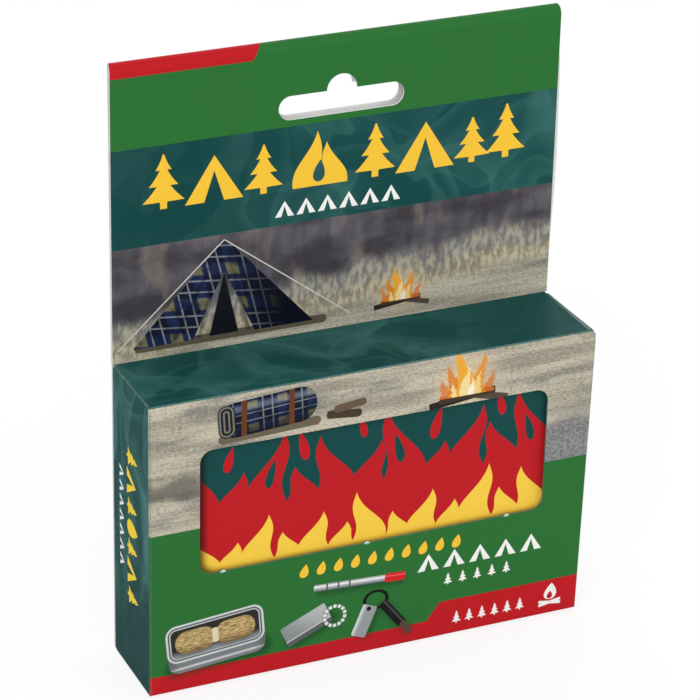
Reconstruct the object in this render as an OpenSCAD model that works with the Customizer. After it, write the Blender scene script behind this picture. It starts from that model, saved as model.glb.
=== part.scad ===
// Window carton with a hang header, holding a hinged tin with a fire lighting kit.
// Millimetres. X runs across the front, Y from the front panel to the back, Z up.
// The origin is the middle of the carton's bottom face. Each thing is sized by what
// it holds: the kit sets the tin, and the tin sets the carton.

/* [Board] */
// Thickness of the folding boxboard
board_t = 0.5; // [0.4:0.05:0.6]
// Gap between board edges and between plies that move past each other
board_gap = 0.15; // [0.1:0.01:0.2]
// Outer radius of a creased fold
crease_r = 0.7; // [0.6:0.05:0.9]

/* [Carton] */
// Room between the tin and the front panel's inner face
front_room = 0.8; // [0.8:0.05:1.5]
// Room behind the tin, which the tuck lips enter
back_room = 3.6; // [3.4:0.1:6]
// Room between the tin and each inner flap
end_room = 1.5; // [1:0.1:4]
// Room above the tin
top_room = 3.5; // [3.2:0.1:8]
// Gap under a thing that rests on another
seat_gap = 0.1; // [0.05:0.01:0.15]
// Height of the glued seam flap inside the front panel
seam_h = 11; // [8:0.5:20]
// Slant of the seam flap's ends
seam_slant = 6; // [3:0.5:10]

/* [Window] */
// Width of the window
window_w = 90.7; // [60:0.1:105]
// Height of the window
window_h = 33.2; // [20:0.1:38]
// Height of the window's lower edge
window_sill = 30.8; // [26:0.1:36]
// Sideways place of the window's middle
window_x = 0.8; // [-2:0.1:2]
// Corner radius of the window
window_r = 5.5; // [2:0.1:8]

/* [Header] */
// Height of the header above the carton
header_h = 74.8; // [60:0.1:100]
// How far the back ply stands off at the top fold
header_spread = 3; // [1.5:0.1:4]
// How far the back ply shows past the front ply on the right
header_flare = 2; // [0:0.1:3]
// Length of the hang slot
slot_w = 32; // [26:0.5:38]
// Height of the hang slot
slot_h = 6; // [5:0.1:7]
// Distance from the header's top to the slot's centre line
slot_drop = 16.6; // [13:0.1:24]
// Sideways place of the slot's middle
slot_x = 0.4; // [-2:0.1:2]
// Radius of the hump above the slot
hump_r = 4.2; // [3.5:0.1:5]
// Height of the hump above the slot's centre line
hump_rise = 6.6; // [5.5:0.1:8]

/* [Closures] */
// Corner radius at the back of a closure
closure_r = 1.8; // [0.8:0.1:4]
// Length of the tuck lip behind a closure
lip_l = 8.5; // [6:0.1:10]
// Corner radius of the tuck lip
lip_r = 5; // [2:0.1:7]
// How far the tuck lip stays inside the panels above and below
lip_inset = 1.2; // [0.8:0.1:4]
// Lean of the tuck lip past the angle at which it just clears the back panel
lip_spare_angle = 2; // [1:0.5:4]
// Length of a dust flap
dust_l = 18; // [12:0.5:22]
// Cut-back of a dust flap beside the closure's fold
dust_front_cut = 1.2; // [0.8:0.1:2]
// Slant of that edge over the flap's length
dust_taper = 5; // [4.5:0.1:8]
// Cut-back of a dust flap beside the tuck lip
dust_back_cut = 1.9; // [1.6:0.1:3]

/* [Tin] */
// Thickness of the tinplate
tin_t = 0.35; // [0.3:0.01:0.45]
// Corner radius of the lid, seen from the front
tin_r = 12; // [9:0.5:13]
// Radius of the rolled edges
tin_edge_r = 2; // [1:0.1:2.5]
// Depth of the lid's skirt
lid_depth = 7; // [5.5:0.1:8.5]
// Clearance between the lid's skirt and the base's wall
lid_clear = 0.15; // [0.1:0.01:0.25]
// How far the stop bead stands out of the base's wall
bead_out = 0.4; // [0.2:0.05:0.45]
// Width of the stop bead
bead_w = 1.2; // [0.8:0.1:2]
// Free depth between the kit and the lid
head_room = 6; // [4.5:0.05:9]

/* [Tin hinge] */
// Radius of a hinge knuckle
knuckle_r = 1.4; // [1.2:0.05:1.5]
// Radius of a hinge pin
pin_r = 0.6; // [0.5:0.05:0.7]
// Clearance between a pin and its knuckles
pin_clear = 0.05; // [0.03:0.01:0.08]
// Length of the base's knuckle
base_knuckle_l = 8; // [5:0.5:12]
// Length of each of the lid's knuckles
lid_knuckle_l = 4; // [3:0.5:6]
// Gap between knuckles
knuckle_gap = 0.2; // [0.1:0.05:0.3]
// Distance from the tin's middle to each hinge
hinge_x = 24; // [18:0.5:30]
// Thickness of the strap that carries a knuckle
strap_t = 0.8; // [0.6:0.1:1]

/* [Magnesium bar] */
// Length of the bar
bar_l = 63; // [50:0.5:70]
// Width of the bar
bar_w = 22; // [18:0.5:26]
// Thickness of the bar
bar_t = 8; // [6.5:0.1:9.5]
// Chamfer along the bar's edges
bar_chamfer = 0.8; // [0.3:0.1:1.5]
// Radius of the hole for the chain
bar_hole_r = 2.6; // [2.5:0.1:3]
// Distance from the hole to the bar's end
bar_hole_inset = 6; // [5:0.1:6.5]

/* [Ball chain] */
// Diameter of a ball
ball_d = 2.4; // [2:0.1:2.5]
// Radius of the chain's loop
chain_loop_r = 8; // [7:0.1:8.2]
// Number of balls
ball_count = 18; // [14:1:18]
// Diameter of the wire between the balls
chain_wire_d = 0.8; // [0.6:0.1:1]
// Length of the clasp
clasp_l = 6.4; // [5.5:0.1:7]
// Diameter of the clasp
clasp_d = 4; // [3.8:0.1:4.4]
// Clearance between the clasp and the balls in it
clasp_clear = 0.4; // [0.35:0.05:0.5]

/* [Ferro rod] */
// Diameter of the rod
rod_d = 6; // [5:0.1:8]
// Length of the rod outside its handle
rod_l = 50; // [40:0.5:54]
// How far the rod is set into the handle
rod_seat = 8; // [6:0.5:12]
// Diameter of the handle
handle_d = 10; // [9:0.1:11]
// Length of the handle
handle_l = 18; // [14:0.5:20]
// Depth of the grooves round the handle
grip_depth = 0.5; // [0.2:0.05:0.8]
// Length of the eye at the handle's end
eye_l = 6; // [5:0.1:7]
// Thickness of the eye
eye_t = 2.4; // [2:0.1:3]
// Radius of the hole in the eye
eye_hole_r = 1.5; // [1.4:0.05:1.8]

/* [Striker] */
// Length of the striker
striker_l = 50; // [42:0.5:54]
// Width of the striker
striker_w = 17; // [14:0.1:18]
// Thickness of the striker
striker_t = 1.8; // [1.2:0.1:2.5]
// Depth of the step cut into its scraping edge
striker_step = 3; // [2:0.1:4]
// Length of the oblong hole
oblong_l = 9; // [8:0.1:10]
// Width of the oblong hole
oblong_w = 5; // [4:0.1:6]
// Radius of the two small holes
striker_hole_r = 1.1; // [0.8:0.1:1.4]

/* [Lanyard] */
// Diameter of the lanyard cord
cord_d = 2; // [1.6:0.1:2]
// Diameter of the cord end
cord_end_d = 5; // [4:0.1:6]

/* [Blow tube] */
// Length of the closed tube with its tip and mouthpiece
tube_l = 94.9; // [80:0.1:96]
// Diameter of the largest section
tube_d = 8.4; // [7.5:0.1:9]
// Wall of a section
tube_wall = 0.4; // [0.35:0.01:0.45]
// Clearance between sections
tube_clear = 0.1; // [0.05:0.01:0.15]
// How far each section stands out of the next larger one
tube_step = 2.4; // [1.5:0.1:3]
// Diameter of the mouthpiece
mouthpiece_d = 9.6; // [9.2:0.1:11]
// Length of the mouthpiece
mouthpiece_l = 17; // [12:0.5:22]
// Diameter of the ball at the tip
tip_d = 6; // [5.6:0.1:7]
// Diameter of the outlet through the tip
outlet_d = 2.4; // [1.5:0.1:3]

/* [Tinder hank] */
// Length of the hank
hank_l = 62; // [50:0.5:66]
// Width of the hank
hank_w = 23; // [18:0.5:27]
// Thickness of the hank
hank_t = 13; // [11:0.1:16]
// Width of the band round its waist
hank_band_w = 7; // [5:0.1:10]
// Thickness of that band
hank_band_t = 0.8; // [0.5:0.1:1.2]
// Gap between the hank and its band
hank_band_gap = 0.15; // [0.05:0.01:0.3]

/* [Packing of the kit] */
// Gap between rows in the tin
row_gap = 1.65; // [1:0.05:3]
// Gap under the bar, which stands on the tin's lower wall
bar_seat_gap = 0.2; // [0.1:0.01:0.3]
// Gap between the tube's row and the upper wall
tube_room = 1.55; // [1.2:0.05:3]
// Room beside the tube's ends, for the tin's round corners
corner_room = 6.2; // [5.9:0.1:9]
// Room between the bar's end and the striker, for the chain
chain_room = 12.95; // [12.5:0.05:16]
// Room between the striker and the tin's wall
striker_side_room = 3; // [2.5:0.1:5]
// Room under the striker's lower end
striker_foot_room = 7; // [6:0.1:9]
// Room between the ferro rod's end and the tin's wall
rod_end_room = 1; // [0.5:0.1:3]

/* [Hidden] */

// Overrun of a cutter past the face that it cuts
cut = 1;
// Facets of round shapes, and of the chain's small balls and wires
$fn = 64;
chain_fn = 32;

// Sizes of the kit's rows, which set the tin
inner_r = tin_r - tin_t - lid_clear - tin_t;
bar_corner_room = inner_r + bar_seat_gap;
rows_h = bar_seat_gap + bar_w + hank_w + handle_d + mouthpiece_d + 3 * row_gap + tube_room;
striker_rows_h = striker_foot_room + striker_l + row_gap + mouthpiece_d + tube_room;
inner_h = max(rows_h, striker_rows_h);
tube_row_w = tube_l + 2 * corner_room;
bar_row_w = bar_corner_room + bar_l + chain_room + striker_w + striker_side_room;
inner_w = max(tube_row_w, bar_row_w);
bar_z = tin_t + seat_gap + ball_d / 2 + chain_loop_r - bar_t / 2;
kit_d = max(hank_t + seat_gap, bar_z + bar_t - tin_t, handle_d + seat_gap) + head_room;
chain_row_d = 2 * chain_loop_r + ball_d + 2 * seat_gap;
inner_d = max(kit_d, chain_row_d);

// Tin. The base's rim stops where the lid's rolled edge begins.
base_w = inner_w + 2 * tin_t;
base_h = inner_h + 2 * tin_t;
base_r = inner_r + tin_t;
tin_w = base_w + 2 * (lid_clear + tin_t);
tin_h = base_h + 2 * (lid_clear + tin_t);
tin_d = inner_d + 2 * tin_t;
base_d = tin_d - tin_edge_r - seat_gap;
hinge_y = tin_h / 2 + knuckle_r + seat_gap;
hinge_z = tin_d - lid_depth;

// Carton
carton_w = tin_w + 2 * (end_room + 2 * board_t + board_gap);
carton_d = tin_d + front_room + back_room + 2 * board_t;
carton_h = tin_h + seat_gap + top_room + 2 * board_t;
tube_end_x = carton_w / 2 - board_t - board_gap;
header_y = carton_d / 2 - 2 * board_t - board_gap;
fold_r = (header_spread + 2 * board_t + board_gap) / 2;
ply_h = header_h - fold_r;
ply_angle = atan(header_spread / ply_h);

// Closures: depth of the panel, and the lean at which the lip's far end turns clear
closure_depth = carton_d - board_t - board_gap;
lip_lean = asin(lip_l / (2 * closure_depth)) + lip_spare_angle;

// Places of the kit in the tin, from its lower left inner corner
row_bar_y = -inner_h / 2 + bar_seat_gap + bar_w / 2;
row_hank_y = row_bar_y + bar_w / 2 + row_gap + hank_w / 2;
row_rod_y = row_hank_y + hank_w / 2 + row_gap + handle_d / 2;
row_tube_y = inner_h / 2 - tube_room - mouthpiece_d / 2;
bar_x = -inner_w / 2 + bar_corner_room;
chain_hole_x = bar_x + bar_l - bar_hole_inset;
striker_x = inner_w / 2 - striker_side_room - striker_w;
striker_y = -inner_h / 2 + striker_foot_room;
striker_z = tin_t + cord_d + 2 * seat_gap + board_gap;
rod_x = -inner_w / 2 + rod_end_room;
rod_z = tin_t + seat_gap + handle_d / 2;
tube_x = -tube_l / 2;
tube_z = tin_t + seat_gap + mouthpiece_d / 2;
hank_x = bar_x + bar_l / 2;
hank_z = tin_t + seat_gap + hank_t / 2;

// Outline of the header's flare, as shares of its height and of the flare
flare_shares = [[0, 0], [0.2, 0.4], [0.5, 0.95], [0.8, 1], [0.97, 0.5], [1, 0]];
// Outline of the hank: shares of its length, and of its width and thickness there
hank_shares = [
    [0, 0.3], [0.03, 0.62], [0.08, 0.84], [0.15, 0.97], [0.22, 1], [0.3, 0.93],
    [0.38, 0.74], [0.44, 0.6], [0.5, 0.56], [0.56, 0.6], [0.62, 0.74], [0.7, 0.93],
    [0.78, 1], [0.85, 0.97], [0.92, 0.84], [0.97, 0.62], [1, 0.3]
];
hank_sides = 24;
// Thickness of the hank against its width, as a share, and the outline's row at its band
hank_round_share = 1.15;
band_row = 9;
// Width of the handle's eye against the handle, as a share, and the number of grooves
eye_share = 0.75;
groove_count = 5;
// Places along the striker, as shares of its length
step_from_share = 0.18;
step_to_share = 0.6;
oblong_share = 0.83;
hole_share = 0.95;
tip_slant_share = 0.45;
// Corner radius of the oblong hole against its width, as a share
oblong_round_share = 0.4;

// Lanyard: from the cord end through the handle's eye, under the striker, up
// through its oblong hole and back. Its points are counted from the eye's middle
// and from the hole's middle, in the tin's own frame.
eye_at = [rod_x + rod_l + handle_l + eye_l / 2, row_rod_y, rod_z];
hole_at = [striker_x + striker_w / 2, striker_y + oblong_share * striker_l, striker_z];
route_by_eye = [
    [7.65, -1.85, 5.55], [5.65, -1.85, 5.55], [3.65, -1.45, 5.15], [1.85, -0.85, 3.95],
    [0.55, -0.25, 2.15], [0.05, -0.05, -0.05], [0.45, -0.05, -1.95], [1.85, -0.45, -3.25],
    [4.15, -1.05, -3.85], [7.65, -1.85, -3.95]
];
route_by_hole = [
    [-11.15, 2.15, -1.2], [-6.15, 1.15, -1.2], [-2.65, 0.35, -1.2], [-0.55, -0.05, -0.5],
    [0.45, -0.15, 1.1], [0.15, 0.05, 3.3], [-1.15, 0.75, 5.7], [-3.15, 1.95, 7.5],
    [-5.65, 3.15, 8.3], [-8.15, 3.15, 8.3]
];
lanyard_route = concat(
    [for (p = route_by_eye) eye_at + p],
    [for (p = route_by_hole) hole_at + p]
);
cord_end_from = lanyard_route[0];
cord_end_to = lanyard_route[len(lanyard_route) - 1];
lanyard_sides = 8;

// Colours
board_print = "darkslategray";
board_white = "whitesmoke";
tinplate = "silver";

// Rectangle with round corners, centred
module rounded_2d(w, h, r) {
    square([w - 2 * r, h], center = true);
    square([w, h - 2 * r], center = true);
    for (sx = [-1, 1], sy = [-1, 1])
        translate([sx * (w / 2 - r), sy * (h / 2 - r)]) circle(r = r);
}

// Carries an outline drawn in Y and Z along X, centred
module along_x(l) {
    rotate([90, 0, 90]) linear_extrude(height = l, center = true) children();
}

// Plate drawn in X and Z, from y = 0 to y = thickness
module upright_plate(t) {
    translate([0, t, 0]) rotate([90, 0, 0]) linear_extrude(height = t) children();
}

// Wall of the carton's tube, seen from its end
module carton_ring() {
    translate([0, carton_h / 2]) difference() {
        rounded_2d(carton_d, carton_h, crease_r);
        rounded_2d(carton_d - 2 * board_t, carton_h - 2 * board_t, crease_r - board_t);
    }
}

module window_2d() {
    translate([window_x, window_sill + window_h / 2]) rounded_2d(window_w, window_h, window_r);
}

module front_panel() {
    color(board_print) difference() {
        intersection() {
            along_x(carton_w) intersection() {
                carton_ring();
                translate([-carton_d / 2, 0]) square([crease_r, carton_h]);
            }
            // Plan of the panel, with the two upright folds round
            linear_extrude(height = carton_h)
                translate([0, carton_d / 2]) rounded_2d(carton_w, 2 * carton_d, board_t);
        }
        translate([0, -carton_d / 2 - cut, 0]) upright_plate(board_t + 2 * cut) window_2d();
    }
}

module top_panel() {
    panel_d = header_y + board_t + carton_d / 2 - crease_r;
    color(board_print) along_x(2 * tube_end_x)
        translate([-carton_d / 2 + crease_r, carton_h - board_t]) square([panel_d, board_t]);
}

module bottom_panel() {
    color(board_print) along_x(2 * tube_end_x)
        translate([-carton_d / 2 + crease_r, 0]) square([carton_d - 2 * crease_r, board_t]);
}

// Back panel with the lower back fold
module back_panel() {
    color(board_print) along_x(carton_w - 2 * board_gap) {
        intersection() {
            carton_ring();
            translate([carton_d / 2 - crease_r, 0]) square([crease_r, 2 * crease_r]);
        }
        translate([carton_d / 2 - board_t, crease_r]) square([board_t, carton_h - crease_r]);
    }
}

// Seam flap glued inside the front panel, with slanted ends
module seam_flap() {
    half_w = tube_end_x - board_t - board_gap - end_room;
    color(board_white)
        translate([0, -carton_d / 2 + board_t, crease_r]) upright_plate(board_t)
            polygon([
                [-half_w, 0], [half_w, 0],
                [half_w - seam_slant, seam_h], [-half_w + seam_slant, seam_h]
            ]);
}

// Hang slot with the hump that centres the pack on a peg
module hang_slot_2d() {
    square([slot_w - slot_h, slot_h], center = true);
    for (side = [-1, 1]) translate([side * (slot_w - slot_h) / 2, 0]) circle(d = slot_h);
    translate([0, hump_rise - hump_r]) circle(r = hump_r);
}

// Front ply of the header with the round fold at its top
module header_front_ply() {
    color(board_print) difference() {
        union() {
            translate([0, header_y, carton_h]) upright_plate(board_t)
                translate([-carton_w / 2, 0]) square([carton_w, ply_h]);
            along_x(carton_w) translate([header_y + fold_r, carton_h + ply_h]) difference() {
                circle(r = fold_r);
                circle(r = fold_r - board_t);
                translate([-fold_r - cut, -fold_r - cut]) square([2 * (fold_r + cut), fold_r + cut]);
            }
        }
        translate([slot_x, header_y - cut, carton_h + header_h - slot_drop])
            upright_plate(board_t + 2 * cut) hang_slot_2d();
    }
}

// Back ply, which leans away from the front ply up to the fold
module header_back_ply() {
    lean_h = ply_h / cos(ply_angle) - board_gap;
    slot_up = (header_h - slot_drop) / cos(ply_angle);
    right_edge = [for (p = flare_shares) [carton_w / 2 + p[1] * header_flare, p[0] * lean_h]];
    color(board_white)
        translate([0, carton_d / 2, carton_h]) rotate([-ply_angle, 0, 0])
            translate([0, -board_t, 0]) difference() {
                upright_plate(board_t)
                    polygon(concat([[-carton_w / 2, lean_h], [-carton_w / 2, 0]], right_edge));
                translate([slot_x, -cut, slot_up]) upright_plate(board_t + 2 * cut) hang_slot_2d();
            }
}

// End closure on the left: the panel and the tuck lip folded in behind it
module closure() {
    start_y = -carton_d / 2 + crease_r + board_gap;
    end_y = carton_d / 2 - board_t - board_gap;
    depth = end_y - start_y;
    height = carton_h - 2 * board_gap;
    lip_h = height - 2 * lip_inset;
    translate([-carton_w / 2 + board_t / 2, 0, carton_h / 2]) along_x(board_t) intersection() {
        translate([end_y - depth, 0]) rounded_2d(2 * depth, height, closure_r);
        translate([start_y, -height / 2]) square([depth, height]);
    }
    translate([-carton_w / 2 + board_t / 2, end_y, carton_h / 2]) rotate([0, 0, -lip_lean])
        translate([0, -board_t, 0]) upright_plate(board_t) intersection() {
            rounded_2d(2 * lip_l, lip_h, lip_r);
            translate([0, -lip_h / 2]) square([lip_l, lip_h]);
        }
}

// Dust flap at the upper left, behind the closure
module dust_flap() {
    top_z = carton_h - board_t - board_gap;
    front_y = -carton_d / 2 + board_t + dust_front_cut;
    back_y = carton_d / 2 - board_t - dust_back_cut;
    translate([-tube_end_x + board_t / 2, 0, 0]) along_x(board_t)
        polygon([
            [front_y, top_z], [back_y, top_z], [back_y, top_z - dust_l / 2],
            [back_y - dust_taper / 2, top_z - dust_l], [front_y + dust_taper, top_z - dust_l]
        ]);
}

module to_lower() {
    translate([0, 0, carton_h]) mirror([0, 0, 1]) children();
}

module left_closure() { color(board_print) closure(); }
module left_upper_dust_flap() { color(board_white) dust_flap(); }
module left_lower_dust_flap() { color(board_white) to_lower() dust_flap(); }
module right_closure() { color(board_print) mirror([1, 0, 0]) closure(); }
module right_upper_dust_flap() { color(board_white) mirror([1, 0, 0]) dust_flap(); }
module right_lower_dust_flap() { color(board_white) mirror([1, 0, 0]) to_lower() dust_flap(); }

// The tin's own frame: X across, Y up its face, Z from its back to its lid
module in_tin() {
    translate([0, -carton_d / 2 + board_t + front_room + tin_d, board_t + seat_gap + tin_h / 2])
        rotate([90, 0, 0]) children();
}

// Half section of a pressed tray, from its corner's axis out to its wall
module tray_solid_2d(r, d, edge_r) {
    square([r, d - edge_r]);
    square([r - edge_r, d]);
    translate([r - edge_r, d - edge_r]) circle(r = edge_r);
}

module tray_section_2d(r, d) {
    difference() {
        tray_solid_2d(r, d, tin_edge_r);
        translate([0, -tin_t]) tray_solid_2d(r - tin_t, d, tin_edge_r - tin_t);
    }
}

// Pressed tray, open at z = 0: its section is turned round each corner and carried
// along each side, and a flat plate closes the middle
module tray(w, h, d, r) {
    for (turn = [0 : 3])
        let(side = turn % 2 == 0 ? w / 2 - r : h / 2 - r,
            along = turn % 2 == 0 ? h / 2 - r : w / 2 - r)
            rotate([0, 0, 90 * turn]) translate([side, along, 0]) {
                rotate_extrude(angle = 90) tray_section_2d(r, d);
                rotate([90, 0, 0]) linear_extrude(height = 2 * along) tray_section_2d(r, d);
            }
    translate([-w / 2 + r, -h / 2 + r, d - tin_t]) cube([w - 2 * r, h - 2 * r, tin_t]);
}

// Hinge knuckle along X, centred, with its pin's bore
module knuckle(l) {
    rotate([0, 90, 0]) cylinder(r = knuckle_r, h = l, center = true);
}

module pin_bore(l) {
    rotate([0, 90, 0]) cylinder(r = pin_r + pin_clear, h = l, center = true);
}

module tin_base() {
    strap_y = base_h / 2 - tin_t / 2;
    color(tinplate) in_tin() difference() {
        union() {
            translate([0, 0, base_d]) mirror([0, 0, 1]) tray(base_w, base_h, base_d, base_r);
            // Bead that the lid's skirt stops on
            translate([0, 0, hinge_z - bead_w - seat_gap]) linear_extrude(height = bead_w) difference() {
                rounded_2d(base_w + 2 * bead_out, base_h + 2 * bead_out, base_r + bead_out);
                rounded_2d(base_w - tin_t, base_h - tin_t, base_r - tin_t / 2);
            }
            for (side = [-1, 1]) translate([side * hinge_x, 0, hinge_z]) {
                translate([0, hinge_y, 0]) knuckle(base_knuckle_l);
                translate([-base_knuckle_l / 2, strap_y, -knuckle_r])
                    cube([base_knuckle_l, hinge_y - strap_y, strap_t]);
            }
        }
        for (side = [-1, 1])
            translate([side * hinge_x, hinge_y, hinge_z]) pin_bore(base_knuckle_l + 2 * cut);
    }
}

module tin_lid() {
    strap_y = tin_h / 2 - tin_t / 2;
    offset_x = (base_knuckle_l + lid_knuckle_l) / 2 + knuckle_gap;
    color("firebrick") in_tin() difference() {
        union() {
            translate([0, 0, hinge_z]) tray(tin_w, tin_h, lid_depth, tin_r);
            for (side = [-1, 1], end = [-1, 1])
                translate([side * hinge_x + end * offset_x, 0, hinge_z]) {
                    translate([0, hinge_y, 0]) knuckle(lid_knuckle_l);
                    translate([-lid_knuckle_l / 2, strap_y, knuckle_r - strap_t])
                        cube([lid_knuckle_l, hinge_y - strap_y, strap_t]);
                }
        }
        for (side = [-1, 1], end = [-1, 1])
            translate([side * hinge_x + end * offset_x, hinge_y, hinge_z])
                pin_bore(lid_knuckle_l + cut);
    }
}

module hinge_pins() {
    color("dimgray") in_tin() for (side = [-1, 1])
        translate([side * hinge_x, hinge_y, hinge_z]) rotate([0, 90, 0])
            cylinder(r = pin_r, h = base_knuckle_l + 2 * (lid_knuckle_l + knuckle_gap), center = true);
}

// Bar with chamfered long edges and the hole for its chain
module magnesium_bar() {
    c = bar_chamfer;
    w = bar_w / 2;
    color("gray") in_tin() difference() {
        translate([bar_x + bar_l / 2, row_bar_y, bar_z]) along_x(bar_l)
            polygon([
                [-w + c, 0], [w - c, 0], [w, c], [w, bar_t - c],
                [w - c, bar_t], [-w + c, bar_t], [-w, bar_t - c], [-w, c]
            ]);
        translate([chain_hole_x, row_bar_y, bar_z - cut])
            cylinder(r = bar_hole_r, h = bar_t + 2 * cut);
    }
}

// Upright loop of the chain, through the bar's hole
module on_chain_loop(angle) {
    translate([chain_hole_x + chain_loop_r, row_bar_y, bar_z + bar_t / 2])
        rotate([0, angle, 0]) translate([chain_loop_r, 0, 0]) children();
}

// Chain whose first and last balls sit inside the clasp
module ball_chain() {
    first_angle = asin((clasp_l - ball_d) / 2 / chain_loop_r);
    pitch = (360 - 2 * first_angle) / (ball_count - 1);
    link_l = 2 * chain_loop_r * sin(pitch / 2);
    color("silver") in_tin() {
        for (i = [0 : ball_count - 1])
            on_chain_loop(first_angle + i * pitch) sphere(d = ball_d, $fn = chain_fn);
        for (i = [0 : ball_count - 2])
            on_chain_loop(first_angle + (i + 1 / 2) * pitch)
                cylinder(d = chain_wire_d, h = link_l, center = true, $fn = chain_fn);
    }
}

// Open sleeve that takes the chain's two end balls
module chain_clasp() {
    color("silver") in_tin() on_chain_loop(0) difference() {
        cylinder(d = clasp_d, h = clasp_l, center = true);
        cylinder(d = ball_d + 2 * clasp_clear, h = clasp_l + 2 * cut, center = true);
    }
}

module ferro_rod() {
    color("saddlebrown") in_tin() translate([rod_x, row_rod_y, rod_z]) rotate([0, 90, 0])
        cylinder(d = rod_d, h = rod_l + rod_seat);
}

// Grooved handle with a flat eye for the lanyard
module rod_handle() {
    groove_pitch = handle_l / (groove_count + 1);
    eye_w = handle_d * eye_share;
    color("black") in_tin() translate([rod_x + rod_l, row_rod_y, rod_z]) difference() {
        union() {
            rotate([0, 90, 0]) rotate_extrude() difference() {
                square([handle_d / 2, handle_l]);
                for (i = [1 : groove_count])
                    translate([handle_d / 2 + grip_depth, i * groove_pitch])
                        circle(r = 2 * grip_depth);
            }
            translate([handle_l + eye_l / 2, 0, 0]) {
                translate([-eye_l, -eye_w / 2, -eye_t / 2]) cube([eye_l, eye_w, eye_t]);
                cylinder(d = eye_w, h = eye_t, center = true);
            }
        }
        rotate([0, 90, 0]) translate([0, 0, -cut]) cylinder(d = rod_d, h = rod_seat + cut);
        translate([handle_l + eye_l / 2, 0, 0])
            cylinder(r = eye_hole_r, h = eye_t + 2 * cut, center = true);
    }
}

// Flat striker: round top with its holes, stepped scraping edge, slanted tip
module striker() {
    half = striker_w / 2;
    color("dimgray") in_tin() translate([striker_x + half, striker_y, striker_z])
        linear_extrude(height = striker_t) difference() {
            union() {
                polygon([
                    [-half, tip_slant_share * striker_w], [0, 0], [half, 0],
                    [half, step_from_share * striker_l],
                    [half - striker_step, step_from_share * striker_l + striker_step],
                    [half - striker_step, step_to_share * striker_l],
                    [half, step_to_share * striker_l + striker_step],
                    [half, striker_l - half], [-half, striker_l - half]
                ]);
                translate([0, striker_l - half]) circle(r = half);
            }
            translate([0, oblong_share * striker_l])
                rounded_2d(oblong_l, oblong_w, oblong_w * oblong_round_share);
            for (side = [-1, 1])
                translate([side * half / 3, hole_share * striker_l]) circle(r = striker_hole_r);
        }
}

// Unit vector, and the tube swept along a route of points
function unit(v) = v / norm(v);
function route_step(p, i) = unit(p[min(i + 1, len(p) - 1)] - p[max(i - 1, 0)]);
function side_of(d) = unit(cross(d, abs(d[1]) < 0.9 ? [0, 1, 0] : [1, 0, 0]));
// Each ring's side vector is the last one's, made square to the new direction
function carried_sides(p, i = 0, last = undef) =
    i == len(p) ? [] :
    let(d = route_step(p, i),
        s = i == 0 ? side_of(d) : unit(last - (last * d) * d))
    concat([s], carried_sides(p, i + 1, s));

module swept_tube(route, radius, sides) {
    side_vectors = carried_sides(route);
    rings = len(route);
    points = [for (i = [0 : rings - 1], k = [0 : sides - 1])
        let(d = route_step(route, i), s = side_vectors[i], a = 360 * k / sides)
        route[i] + radius * (cos(a) * s + sin(a) * cross(d, s))];
    walls = [for (i = [0 : rings - 2], k = [0 : sides - 1])
        let(n = (k + 1) % sides)
        each [[i * sides + k, (i + 1) * sides + n, i * sides + n],
              [i * sides + k, (i + 1) * sides + k, (i + 1) * sides + n]]];
    near_end = [for (k = [1 : sides - 2]) [0, k, k + 1]];
    far = (rings - 1) * sides;
    far_end = [for (k = [1 : sides - 2]) [far, far + k + 1, far + k]];
    polyhedron(points = points, faces = concat(walls, near_end, far_end));
}

module lanyard_cord() {
    color("black") in_tin() swept_tube(lanyard_route, cord_d / 2, lanyard_sides);
}

// Barrel that joins the lanyard's two ends
module cord_end() {
    color("black") in_tin() translate(cord_end_from) rotate([0, 90, 0])
        cylinder(d = cord_end_d, h = cord_end_to[0] - cord_end_from[0]);
}

// Telescopic section, counted from the largest
module tube_section(i) {
    outer_d = tube_d - 2 * i * (tube_wall + tube_clear);
    body_l = tube_l - tip_d - mouthpiece_l / 2 - 3 * tube_step;
    in_tin() translate([tube_x + mouthpiece_l / 2 + i * tube_step, row_tube_y, tube_z])
        rotate([0, 90, 0]) difference() {
            cylinder(d = outer_d, h = body_l);
            translate([0, 0, -cut])
                cylinder(d = outer_d - 2 * tube_wall, h = body_l + 2 * cut);
        }
}

module tube_section_1() { color("silver") tube_section(0); }
module tube_section_2() { color("gainsboro") tube_section(1); }
module tube_section_3() { color("silver") tube_section(2); }
module tube_section_4() { color("gainsboro") tube_section(3); }

// Ball at the far end on its collar, with the outlet bored through it
module tube_tip() {
    collar_r = tube_d / 2 - 3 * (tube_wall + tube_clear);
    ball_r = tip_d / 2;
    seat_x = tube_x + tube_l - tip_d;
    color("gainsboro") in_tin() translate([seat_x, row_tube_y, tube_z]) rotate([0, 90, 0])
        rotate_extrude() difference() {
            union() {
                translate([0, ball_r]) circle(r = ball_r);
                square([collar_r, ball_r]);
            }
            translate([-ball_r - cut, -cut]) square([ball_r + cut + outlet_d / 2, tip_d + 2 * cut]);
        }
}

// Mouthpiece: a sleeve that swells towards the lips and grips the largest section
module mouthpiece() {
    lip_inner_r = tube_d / 2 - tube_wall - tube_clear;
    seat_l = mouthpiece_l / 2;
    r = mouthpiece_d / 2;
    color("red") in_tin() translate([tube_x, row_tube_y, tube_z]) rotate([0, 90, 0])
        rotate_extrude() difference() {
            union() {
                square([tube_d / 2 + tube_wall, mouthpiece_l]);
                translate([0, tube_wall]) square([r, seat_l - 2 * tube_wall]);
                translate([r - tube_wall, tube_wall]) circle(r = tube_wall);
                translate([r - tube_wall, seat_l - tube_wall]) circle(r = tube_wall);
            }
            translate([0, -cut]) square([lip_inner_r, seat_l + 2 * cut]);
            translate([0, seat_l]) square([tube_d / 2 + tube_clear / 2, seat_l + cut]);
        }
}

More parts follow.
